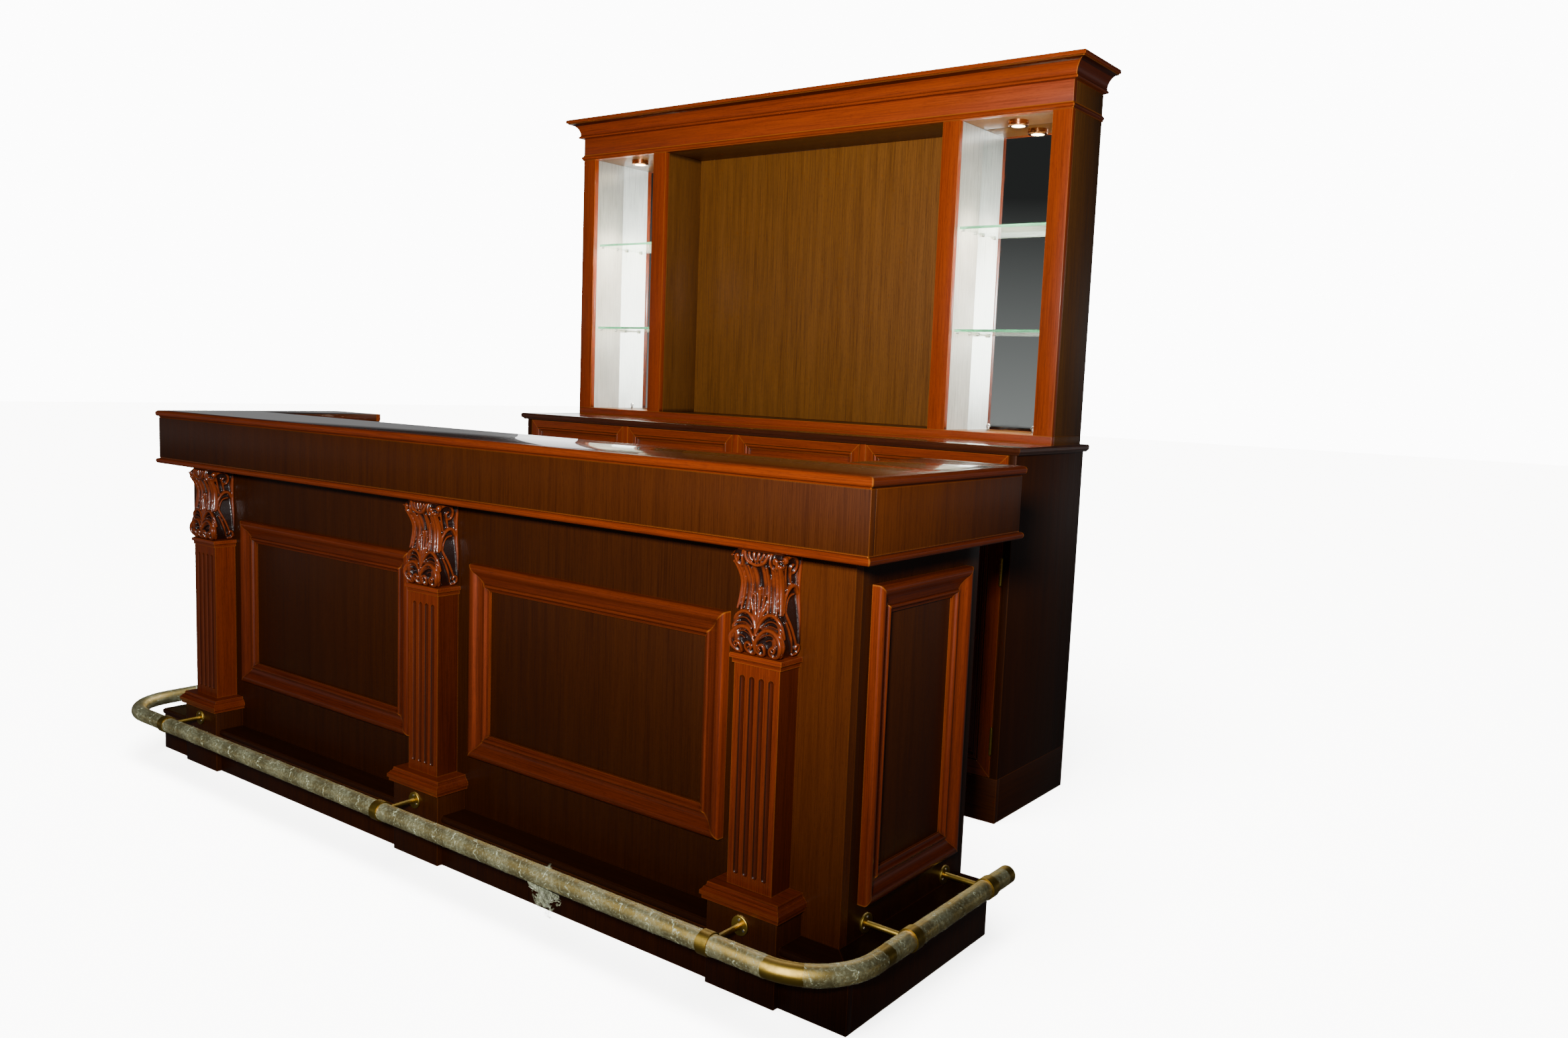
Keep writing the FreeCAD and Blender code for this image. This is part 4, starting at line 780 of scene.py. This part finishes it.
# Carving of a capital, drawn on its right half. Each point is: hundredths of the way from the
# middle of the front (0) round the corner (100) to the wall (200), thousandths of the height,
# thousandths of the height as the rib's radius, and lift in tenths of the radius. A stem
# repeats at the shares of the way that stand before its points.
STEMS = {
    "reed": ((0.2, 0.58), [
        (100, 380, 30, -3), (100, 550, 34, -3), (100, 720, 32, -3), (106, 870, 26, -3)]),
    "bead": ((0.39, 0.77), [
        (100, 420, 9, 7), (100, 600, 11, 8), (100, 740, 11, 8), (105, 860, 9, 6)]),
    "edge": ((0.94,), [
        (100, 420, 14, 3), (100, 600, 17, 3), (100, 740, 17, 3), (104, 860, 14, 2)]),
}
RIBS = {
    "far_scroll": [
        (2, 60, 12, 8), (3, 140, 14, 9), (10, 200, 15, 10), (30, 260, 16, 11), (56, 275, 18, 12),
        (82, 245, 21, 11), (99, 170, 23, 9), (100, 90, 22, 8), (92, 30, 18, 8), (76, 16, 14, 9),
        (60, 40, 13, 11), (57, 90, 12, 13), (66, 125, 12, 15), (78, 120, 11, 16), (82, 85, 10, 17),
        (75, 65, 8, 18)],
    "near_scroll": [
        (3, 170, 10, 6), (0, 80, 14, 8), (8, 25, 14, 8), (22, 14, 14, 9), (37, 40, 13, 11),
        (40, 90, 12, 13), (31, 135, 12, 15), (17, 125, 11, 16), (12, 85, 10, 17), (20, 60, 8, 18)],
    "far_eye": [(69, 88, 17, 10), (70, 90, 19, 11), (71, 92, 17, 10)],
    "near_eye": [(23, 88, 16, 10), (24, 90, 18, 11), (25, 92, 16, 10)],
    "inner_vein": [
        (10, 165, 7, -6), (30, 220, 8, -5), (56, 235, 8, -5), (78, 205, 8, -5), (90, 150, 7, -6)],
    "inner_vein_low": [(40, 165, 7, -7), (55, 195, 8, -6), (72, 175, 8, -6), (84, 130, 7, -7)],
    "outer_arch": [
        (0, 200, 12, 8), (6, 290, 13, 9), (20, 360, 14, 10), (40, 405, 15, 11), (64, 415, 16, 12),
        (88, 375, 17, 11), (108, 300, 18, 10), (120, 200, 14, 7)],
    "outer_vein": [
        (14, 270, 8, -5), (34, 340, 9, -4), (62, 360, 9, -3), (86, 330, 9, -4), (100, 270, 8, -5)],
    "outer_vein_low": [(20, 260, 7, -6), (36, 300, 8, -5), (60, 318, 8, -4), (84, 290, 8, -5)],
    "corner_leaf": [
        (96, 270, 16, 5), (108, 220, 30, 2), (114, 130, 36, 2), (113, 50, 32, 2),
        (108, 15, 20, 1)],
    "falling_leaf": [
        (0, 240, 10, 3), (0, 420, 14, 8), (0, 550, 17, 12), (0, 630, 20, 16), (0, 645, 17, 24),
        (0, 625, 10, 34)],
    "leaf_side": [
        (5, 280, 8, 3), (14, 420, 12, 8), (21, 540, 14, 11), (25, 585, 16, 14), (27, 570, 10, 20)],
    "leaf_low": [
        (10, 340, 7, 3), (26, 430, 10, 8), (37, 500, 13, 11), (40, 525, 14, 14), (42, 510, 9, 18)],
    "cup_rim": [(0, 865, 14, 12), (22, 875, 15, 13), (42, 915, 15, 13), (50, 985, 14, 10)],
    "cup_leaf": [(3, 890, 10, 6), (10, 930, 16, 8), (10, 985, 17, 9)],
    "cup_leaf_outer": [(16, 900, 9, 5), (28, 935, 14, 8), (32, 985, 15, 8)],
    "corner_volute": [
        (60, 990, 12, 7), (58, 930, 13, 8), (62, 865, 13, 8), (74, 840, 13, 8), (86, 860, 13, 8),
        (88, 920, 12, 8), (80, 955, 11, 9), (72, 930, 10, 10), (75, 895, 10, 11)],
    "corner_stem": [(106, 460, 12, 4), (108, 620, 13, 4), (106, 780, 13, 4), (102, 880, 12, 3)],
    "bead": [(100, 940, 30, 0), (102, 935, 33, 0), (104, 930, 30, 0)],
    "bead_low": [(99, 885, 16, 2), (100, 875, 18, 2), (101, 865, 16, 2)],
    "back_rib": [(194, 40, 18, 2), (194, 300, 20, 3), (194, 700, 20, 3), (194, 970, 22, 3)],
    "side_blade": [(112, 500, 12, 4), (130, 400, 17, 5), (156, 270, 18, 5), (174, 120, 14, 3)],
    "side_blade_low": [(124, 360, 11, 3), (142, 260, 15, 4), (154, 150, 14, 3), (160, 50, 10, 2)],
    "side_arch": [
        (114, 440, 14, 6), (116, 540, 17, 8), (132, 640, 18, 10), (156, 690, 20, 12),
        (180, 670, 20, 13), (188, 600, 14, 10)],
    "side_arch_inner": [
        (126, 440, 10, 2), (128, 520, 12, 4), (146, 600, 13, 6), (172, 600, 12, 6)],
    "side_stem": [(128, 660, 14, 1), (126, 780, 15, 1), (124, 880, 13, 1)],
    "side_stem_back": [(152, 700, 14, 1), (152, 780, 15, 1), (150, 860, 13, 1)],
    "side_scroll": [
        (116, 840, 14, 5), (120, 930, 16, 7), (144, 975, 18, 8), (170, 950, 18, 8),
        (178, 860, 16, 8), (166, 790, 14, 8), (148, 810, 12, 9), (146, 870, 11, 10),
        (158, 890, 9, 11)],
    "base_curl": [
        (162, 30, 12, 6), (180, 20, 13, 7), (190, 70, 13, 8), (184, 130, 12, 9),
        (170, 120, 11, 10), (170, 80, 10, 11)],
}
# How far every rib sinks into the bracket, and the flanks that carry it, both in its radii
SINK = 0.9
FLANK_SINK = 1.5
FLANK_WIDTH = 1.35
# Stain and painted shade fill the ground up to this height over the bracket's skin and thin out
# above it
STAIN_AND_SHADE_TOP = 1.0 * MM
STAIN_AND_SHADE_DEPTH = 4.5 * MM


def swept(name, ribs, context):
    """A bmesh of round ribs; each rib is a list of points, each with its own radius."""
    curve = bpy.data.curves.new(name, "CURVE")
    curve.dimensions = "3D"
    curve.bevel_depth = 1.0
    curve.bevel_resolution = 3
    curve.use_fill_caps = True
    for rib in ribs:
        spline = curve.splines.new("NURBS")
        spline.points.add(len(rib) - 1)
        for point, (place, radius) in zip(spline.points, rib):
            point.co = (*place, 1.0)
            point.radius = radius
        spline.order_u = 3
        spline.use_endpoint_u = True
        spline.resolution_u = 5
    holder = put(name, curve, context)
    context.view_layer.update()
    return taken(holder, holder)


class HOMEBAR_OT_capitals(Operator):
    """Carve the three capitals: scrolls, stems, leaves and shells on the flared bracket"""
    bl_idname = "homebar.capitals"
    bl_label = "Carved capitals"

    def execute(self, context):
        """Carve one capital, then set a copy on each pilaster."""
        first, *others = cad_solids("capitals")
        places = [corners_of(bm) for bm in (first, *others)]
        carved = self.carve(first, *places[0], context.scene.home_bar.carving, context)
        finish = finish_of("carved_mahogany", context)
        for index, (low, _) in enumerate(places, start=1):
            copy = carved.copy()
            bmesh.ops.translate(copy, verts=copy.verts, vec=low - places[0][0])
            piece = piece_from(copy, "carved_capital_%d" % index, finish, context)
            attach(piece, body_of("capitals"))
            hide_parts("capitals")
        for bm in (carved, first, *others):
            bm.free()
        return {"FINISHED"}

    def carve(self, body, low, high, carving, context):
        """One capital: ribs laid on the bracket, melted into it and smoothed."""
        tree = BVHTree.FromBMesh(body)
        middle = (low.x + high.x) / 2
        height = high.z - low.z
        far = high.y - low.y

        def on_surface(way, up, lift):
            """A point of the bracket's skin from its shares, lifted off it."""
            z = low.z + height * up
            side = tree.ray_cast(Vector((high.x + far, high.y - far * 0.4, z)), Vector((-1, 0, 0)))
            front = tree.ray_cast(Vector((middle, low.y - far, z)), Vector((0, 1, 0)))
            half = side[0].x - middle
            depth = high.y - front[0].y
            guess = Vector((middle + half * min(way, 1), high.y - depth * min(1, 2 - way), z))
            place, normal, _, _ = tree.find_nearest(guess)
            return place + normal * lift

        def rib(points, share=1.0):
            """A rib with its flanks on the right half, and their mirror images."""
            pairs = []
            for sink, width in ((SINK, 1.0), (SINK + FLANK_SINK, FLANK_WIDTH)):
                right = [(on_surface(way / 100 * share, up / 1000,
                                     radius / 1000 * height * (lift / 10 - sink)),
                          radius / 1000 * height * width) for way, up, radius, lift in points]
                left = [(Vector((2 * middle - place.x, place.y, place.z)), size)
                        for place, size in right]
                pairs += [right, left]
            return pairs

        ribs = []
        for points in RIBS.values():
            ribs += rib(points)
        for shares, points in STEMS.values():
            for share in shares:
                ribs += rib(points, share)
        bm = swept("capital_ribs", ribs, context)
        ground = body.copy()
        pivot = Matrix.Translation((middle, high.y, low.z + height / 2))
        bmesh.ops.scale(ground, verts=ground.verts, space=pivot.inverted(),
                        vec=(carving.core_share, carving.core_share, 1))
        join(bm, ground)
        return self.melt(bm, tree, low, high, carving, context)

    def melt(self, bm, skin, low, high, carving, context):
        """Melt the ribs into one carved mass inside the bracket's box and mark its hollows."""
        block = piece_from(bm, "capital_block", finish_of("carved_mahogany", context), context)
        melt = block.modifiers.new("melt", "REMESH")
        melt.mode = "VOXEL"
        melt.voxel_size = carving.voxel
        carved = taken(block, block.evaluated_get(context.evaluated_depsgraph_get()))
        for _ in range(carving.smoothing):
            bmesh.ops.smooth_vert(carved, verts=carved.verts, factor=0.4, use_axis_x=True,
                                  use_axis_y=True, use_axis_z=True)
        for vert in carved.verts:
            vert.co.y = min(vert.co.y, high.y)
            vert.co.z = min(max(vert.co.z, low.z), high.z)
        hollow = carved.verts.layers.float.new("hollow")
        for vert in carved.verts:
            place, normal, _, _ = skin.find_nearest(vert.co)
            height = (vert.co - place).dot(normal)
            vert[hollow] = min(max((STAIN_AND_SHADE_TOP - height) / STAIN_AND_SHADE_DEPTH, 0), 1)
        for face in carved.faces:
            face.smooth = True
        return carved


class HOMEBAR_OT_film(Operator):
    """Wrap the foot rail in clear film, with wrinkles, bare collars and torn ends"""
    bl_idname = "homebar.film"
    bl_label = "Film on the rail"

    # How often per metre the film's cuts fray and its crinkles come, how sharp a crinkle and the
    # edge of a turn are, and how far a cut wanders
    fray, crinkles, crinkle_sharp, edge_sharp, wander = 60, 55, 4, 14, 6 * MM
    # Bare stretches besides the collars, as shares of the rail's length from its left end
    bare = [(-0.1, 0.004), (0.803, 0.822), (0.865, 0.872), (0.994, 1.1)]
    # Torn ends: first corner as shares of the rail's box, way along, way down, most opaque end
    torn = {"front": ((0.704, 0.004, 0.2), (0.1, 0.0, -0.004), (0.034, -0.006, -0.058)),
            "wisp": ((0.7175, 0.03, 0.97), (0.014, 0.004, 0.002), (0.004, 0.003, 0.013)),
            "left": ((0.008, 0.19, 0.1), (0.0, 0.3, 0.0), (-0.002, 0.0, -0.024))}

    def execute(self, context):
        """Sweep a sleeve along the rail, wrinkle it, cut it at the collars and add torn ends."""
        metal = context.scene.home_bar.metal
        low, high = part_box("foot_rail")
        tube = (high.z - low.z) / 2
        line = RailLine(low, high, tube, metal.rail_bend)
        bm = self.sleeve(line, tube + metal.film_thickness, context)
        self.wrinkle(bm, line, self.collars(line, tube), metal)
        film = film_finish("clear_stretch_film", metal, metal.film_cover)
        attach(piece_from(bm, "rail_film", film, context), body_of("foot_rail"))
        loose = film_finish("loose_stretch_film", metal, metal.loose_cover)
        for name, (corner, way, fall) in self.torn.items():
            place = low + Vector([share * size for share, size in zip(corner, high - low)])
            bm = self.torn_end(place, Vector(way), Vector(fall))
            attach(piece_from(bm, "rail_flap_" + name, loose, context), body_of("foot_rail"))
        return {"FINISHED"}

    def sleeve(self, line, radius, context):
        """A round sleeve along the rail's middle line."""
        curve = bpy.data.curves.new("rail_film", "CURVE")
        curve.dimensions = "3D"
        curve.bevel_depth = radius
        curve.bevel_resolution = 6
        spline = curve.splines.new("BEZIER")
        places = line.bezier()
        spline.bezier_points.add(len(places) - 1)
        for point, (place, before, after) in zip(spline.bezier_points, places):
            point.handle_left_type = point.handle_right_type = "FREE"
            point.co = place
            point.handle_left = place - before
            point.handle_right = place + after
        spline.resolution_u = 260
        holder = put("rail_film", curve, context)
        context.view_layer.update()
        return taken(holder, holder)

    def collars(self, line, tube):
        """Start and end of each collar and cap, as distances along the rail."""
        spans = []
        for near, far in boxes_of("rail_fittings"):
            middle = (near + far) / 2
            distance, core, _ = line.along(middle)
            if (middle - core).length < tube / 2 and far.z - near.z > 2 * tube:
                reach = min(far.x - near.x, far.y - near.y) / 2
                spans.append((distance - reach, distance + reach))
        return spans

    def wrinkle(self, bm, line, spans, metal):
        """Push the sleeve out by its folds, store its turns, and cut the bare stretches out."""
        wrap = bm.verts.layers.float_vector.new("wrap")
        places = {}
        for vert in bm.verts:
            distance, core, outward = line.along(vert.co)
            out = (vert.co - core).normalized()
            turn = distance / metal.film_pitch
            level = math.atan2(out.z, out.dot(outward)) / (2 * math.pi)
            ragged = noise.noise(vert.co * self.fray)
            crinkle = abs(noise.noise(Vector((distance * self.crinkles + level * 9, level * 10,
                                              3.1))))
            edge = max(0.0, 1 - abs((turn + level) % 1.0 - 0.5) * self.edge_sharp)
            amount = 0.8 * (1 - min(1.0, crinkle * self.crinkle_sharp)) + 0.8 * edge
            vert[wrap] = Vector((turn, out.dot(outward), out.z))
            vert.co += out * metal.film_crease * (amount * 0.7 + 0.5 * abs(ragged))
            places[vert] = distance + self.wander * ragged
        bare = [(start * line.length, end * line.length) for start, end in self.bare] + spans
        self.cut(bm, places, lambda place: any(start < place < end for start, end in bare))

    def torn_end(self, corner, way, fall):
        """A torn piece of film: a fine grid laid out, ruffled and frayed into holes."""
        bm = bmesh.new()
        bmesh.ops.create_grid(bm, x_segments=64, y_segments=36, size=0.5)
        wrap = bm.verts.layers.float_vector.new("wrap")
        side = way.cross(fall).normalized()
        frayed = {}
        for vert in bm.verts:
            along, down = vert.co.x + 0.5, vert.co.y + 0.5
            reach = 0.35 + 0.65 * math.sin(math.pi * min(along * 1.15, 1.0)) ** 2
            ruffle = noise.noise(Vector((along * 7, down * 3, way.length * 9)))
            vert[wrap] = Vector((along * 2, math.cos(down * 4), math.sin(down * 4)))
            holes = abs(noise.noise(Vector((along * 16, down * 7, fall.length * 50))))
            frayed[vert] = holes - 0.55 * max(0, down - reach * 0.5) + 0.06 * (1 - down)
            vert.co = (corner + way * along + fall * down * reach
                       + side * ruffle * down * fall.length * 0.3)
        self.cut(bm, frayed, lambda value: value < 0.02)
        return bm

    def cut(self, bm, values, gone):
        """Smooth the film and cut out each face whose mean value says that it is gone."""
        away = []
        for face in bm.faces:
            if gone(sum(values[vert] for vert in face.verts) / len(face.verts)):
                away.append(face)
            face.smooth = True
        bmesh.ops.delete(bm, geom=away, context="FACES")


def finish_nodes(context, wooden=(), others=()):
    """Dress wooden nodes and repaint others."""
    for node in wooden:
        dress(node, context)
    for node in others:
        repaint(node, context)
    return {"FINISHED"}


class HOMEBAR_OT_front_boards(Operator):
    """Veneered boards of the front bar: walls, panels, apron, step and blocks"""
    bl_idname = "homebar.front_boards"
    bl_label = "Front bar, boards"

    def execute(self, context):
        """Dress every board of the front bar."""
        return finish_nodes(context, wooden=(
            "bar_top", "apron_boards", "front_wall", "side_walls", "inset_panels",
            "plinth_blocks", "step_risers", "wing_panels", "service_shelving"))


class HOMEBAR_OT_front_mouldings(Operator):
    """Solid mouldings of the front bar: lip, frames, shafts, caps and treads"""
    bl_idname = "homebar.front_mouldings"
    bl_label = "Front bar, mouldings"

    def execute(self, context):
        """Dress every moulding of the front bar."""
        return finish_nodes(context, wooden=(
            "top_lip", "apron_moulding", "front_frames", "side_frames", "pilaster_shafts",
            "neck_mouldings", "block_caps", "step_treads"))


class HOMEBAR_OT_foot_rail(Operator):
    """Brass foot rail with its brackets and screws"""
    bl_idname = "homebar.foot_rail"
    bl_label = "Foot rail"

    def execute(self, context):
        """Repaint the rail and its fittings."""
        return finish_nodes(context, others=("foot_rail", "rail_fittings", "rail_screws"))


class HOMEBAR_OT_cabinet(Operator):
    """Cabinet of the back bar: case, counter, base, hinges and runners"""
    bl_idname = "homebar.cabinet"
    bl_label = "Back bar, cabinet"

    def execute(self, context):
        """Dress the case and repaint its metal parts."""
        return finish_nodes(context, wooden=(
            "cabinet_plinth", "cabinet_sides", "cabinet_carcass", "cabinet_back", "counter_top"),
            others=("drawer_runners", "door_hinges"))


class HOMEBAR_OT_fronts(Operator):
    """Drawers and doors of the back bar with their knobs"""
    bl_idname = "homebar.fronts"
    bl_label = "Back bar, drawers and doors"

    def execute(self, context):
        """Dress each drawer and door and repaint its knob and hinges."""
        wooden, others = [[kind + digit for kind in kinds for digit in "1234"] for kinds in (
            ("door_", "drawer_box_", "drawer_front_"), ("door_hardware_", "drawer_knob_"))]
        return finish_nodes(context, wooden, others)


class HOMEBAR_OT_hutch(Operator):
    """Hutch of the back bar: case, back, front frame, frieze and crown"""
    bl_idname = "homebar.hutch"
    bl_label = "Back bar, hutch"

    def execute(self, context):
        """Dress the wooden parts of the hutch."""
        return finish_nodes(context, wooden=(
            "hutch_carcass", "hutch_back", "face_frame", "frieze_board", "astragal", "crown"))


class HOMEBAR_OT_niches(Operator):
    """Niches of the hutch: linings, mirrors, glass, clips and lamps"""
    bl_idname = "homebar.niches"
    bl_label = "Back bar, niches"

    def execute(self, context):
        """Repaint the niches' own nodes."""
        return finish_nodes(context, others=(
            "niche_linings", "niche_mirrors", "glass_shelves", "shelf_clips", "lamp_housings",
            "lamp_lenses"))


class HOMEBAR_OT_mirror_clips(Operator):
    """Small bright clips that hold the foot of each niche mirror"""
    bl_idname = "homebar.mirror_clips"
    bl_label = "Mirror clips"

    # Places across a mirror, as shares of its width from its left edge
    shares = (0.25, 0.75)

    def execute(self, context):
        """Set two clips on the foot of each mirror."""
        width = context.scene.home_bar.metal.clip_width
        whole = bmesh.new()
        for low, high in boxes_of("niche_mirrors"):
            for share in self.shares:
                foot = Vector((low.x + (high.x - low.x) * share, low.y, low.z))
                join(whole, self.clip(foot, width))
        piece = piece_from(whole, "mirror_clips", finish_of("steel", context), context)
        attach(piece, body_of("niche_mirrors"))
        return {"FINISHED"}

    def clip(self, foot, width):
        """A strip that stands on the floor before the mirror, with a round head."""
        bm = bmesh.new()
        bmesh.ops.create_cone(bm, cap_ends=True, segments=20, radius1=width / 2,
                              radius2=width * 0.4, depth=2 * MM)
        bmesh.ops.rotate(bm, verts=bm.verts, matrix=Matrix.Rotation(math.pi / 2, 3, "X"))
        bmesh.ops.translate(bm, verts=bm.verts, vec=foot + Vector((0, -MM, width * 0.9)))
        soften(bm, 0.5 * MM)
        stem = bmesh.ops.create_cube(bm, size=1)["verts"]
        bmesh.ops.scale(bm, verts=stem, vec=(width * 0.45, 2 * MM, width * 0.9))
        bmesh.ops.translate(bm, verts=stem, vec=foot + Vector((0, -MM, width * 0.45)))
        for face in bm.faces:
            face.smooth = len(face.verts) < 5
        return bm


class HOMEBAR_OT_stage(Operator):
    """Pale floor, soft light and the photograph's camera"""
    bl_idname = "homebar.stage"
    bl_label = "Floor, light and camera"

    def execute(self, context):
        """Set the stage."""
        stage = context.scene.home_bar.stage
        self.floor(stage, context)
        self.backdrop(stage, context)
        self.lamp("soft_key", context, place=(2.35, -3.0, 1.65), aim=(0.4, -0.3, 3.8),
                  size=stage.key_size, energy=stage.key_power, spread=stage.key_spread)
        shine = self.lamp("soft_shine", context, place=(0.9, -3.4, 1.7), aim=(0, cad_low.y, 0.2),
                          size=stage.shine_size, energy=stage.shine_power)
        bounce = self.lamp("soft_bounce", context, place=(-0.6, 1.4, 1.8), aim=(0.6, -0.9, 0.1),
                           size=stage.shine_size / 2, energy=stage.bounce_power,
                           use_shadow=False)
        self.light_only("metals", METAL_PIECES, (shine, bounce), context)
        self.lamp("soft_far", context, place=(cad_low.x - 1.5, cad_high.y + 2.5, cad_high.z),
                  aim=(0, 0, cad_high.z / 2), size=stage.far_size, energy=stage.far_power)
        self.niche_lamps(stage, context)
        self.camera(stage, context)
        return {"FINISHED"}

    def light_only(self, name, starts, lights, context):
        """Let some lights reach only the pieces whose names start so."""
        reached = bpy.data.collections.new(name)
        for piece in context.scene.objects:
            if piece.type != "LIGHT" and piece.name.startswith(starts):
                reached.objects.link(piece)
        for light in lights:
            light.light_linking.receiver_collection = reached

    def floor(self, stage, context):
        """A plain pale floor with a light of its own, so that its white never tints the woods."""
        bm = bmesh.new()
        bmesh.ops.create_grid(bm, x_segments=1, y_segments=1, size=stage.floor_size / 2)
        material, add = new_material("pale_floor")
        dull = add("MapRange", (patches(add, (1, 1, 1), 3.0), 0.0, 1.0, 0.85, 0.95))
        closed(material, {"Base Color": opaque(stage.floor), "Roughness": dull})
        floor = piece_from(bm, "floor", material, context)
        floor.visible_glossy = False
        floor.visible_diffuse = False
        sun = new_light("floor_sun", "SUN", context, energy=stage.floor_sun,
                        angle=math.radians(60))
        sun.rotation_euler = (math.radians(20), math.radians(15), 0)
        self.light_only("only_floor", "floor", [sun], context)

    def backdrop(self, stage, context):
        """A white backdrop that lights the room softly."""
        world = bpy.data.worlds.new("studio")
        world.use_nodes = True
        world.node_tree.nodes.clear()
        add = adder(world.node_tree)
        rise = add("SeparateXYZ", [add("TexCoord", out="Generated")], "Z")
        above = add("MapRange", (rise, -0.03, 0.15, stage.room_level, stage.room / 2))
        level = add("MapRange", (rise, -0.1, -0.03, stage.room / stage.room_level, 1.0))
        room = add("Math", (above, level), operation="MULTIPLY")
        white = (1, 1, 1, 1)
        lit = add("Background", (white, room))
        seen = add("Background", (white, stage.sky))
        eye = add("LightPath", out="Is Camera Ray")
        add("OutputWorld", [add("MixShader", (eye, lit, seen))])
        context.scene.world = world

    def lamp(self, name, context, place, aim, **settings):
        """A square soft light that faces a point and isn't seen itself."""
        holder = new_light(name, "AREA", context, **settings)
        holder.location = place
        holder.rotation_euler = (Vector(aim) - Vector(place)).to_track_quat("-Z", "Y").to_euler()
        holder.visible_camera = False
        return holder

    def niche_lamps(self, stage, context):
        """The light of the lamp in each niche."""
        low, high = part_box("lamp_lenses")
        width = high.y - low.y
        lamps = []
        for side, x in (("left", low.x + width / 2), ("right", high.x - width / 2)):
            lamps.append(new_light("niche_lamp_" + side, "AREA", context, shape="DISK",
                                   size=width, energy=stage.lamp_power, use_shadow=False,
                                   color=stage.lamp_colour, spread=stage.lamp_spread))
            lamps[-1].location = (x, (low.y + high.y) / 2, low.z - MM)
        self.light_only("niches", NICHE_PIECES, lamps, context)

    def camera(self, stage, context):
        """The photograph's camera."""
        camera = put("photo_camera", bpy.data.cameras.new("photo_camera"), context)
        camera.data.sensor_width = stage.camera_sensor
        camera.data.sensor_fit = "HORIZONTAL"
        camera.data.lens = stage.camera_lens
        camera.data.clip_end = 200
        turn = (Matrix.Rotation(stage.camera_heading, 4, "Z")
                @ Matrix.Rotation(math.pi / 2 - stage.camera_fall, 4, "X")
                @ Matrix.Rotation(stage.camera_roll, 4, "Z"))
        camera.matrix_world = Matrix.Translation(stage.camera_place) @ turn
        context.scene.camera = camera


class HOMEBAR_PT_panel(Panel):
    """Lists the home bar's pieces"""
    bl_idname = "HOMEBAR_PT_panel"
    bl_label = "Home bar"
    bl_space_type = "VIEW_3D"
    bl_region_type = "UI"
    bl_category = "Home bar"

    def draw(self, context):
        """Draw a button for each operator."""
        for operator in OPERATORS:
            self.layout.operator(operator.bl_idname)


GROUPS = (HomeBarWood, HomeBarMetal, HomeBarCarving, HomeBarStage, HomeBarSettings)
OPERATORS = (HOMEBAR_OT_front_boards, HOMEBAR_OT_front_mouldings, HOMEBAR_OT_capitals,
             HOMEBAR_OT_foot_rail, HOMEBAR_OT_film, HOMEBAR_OT_cabinet, HOMEBAR_OT_fronts,
             HOMEBAR_OT_hutch, HOMEBAR_OT_niches, HOMEBAR_OT_mirror_clips, HOMEBAR_OT_stage)
CLASSES = GROUPS + OPERATORS + (HOMEBAR_PT_panel,)


def register():
    """Register the classes and the settings."""
    for item in CLASSES:
        bpy.utils.register_class(item)
    bpy.types.Scene.home_bar = PointerProperty(type=HomeBarSettings)


def unregister():
    """Remove the settings and the classes."""
    del bpy.types.Scene.home_bar
    for item in reversed(CLASSES):
        bpy.utils.unregister_class(item)


def main():
    """Build every piece."""
    register()
    for operator in OPERATORS:
        group, name = operator.bl_idname.split(".")
        getattr(getattr(bpy.ops, group), name)()


if __name__ == "__main__":
    main()
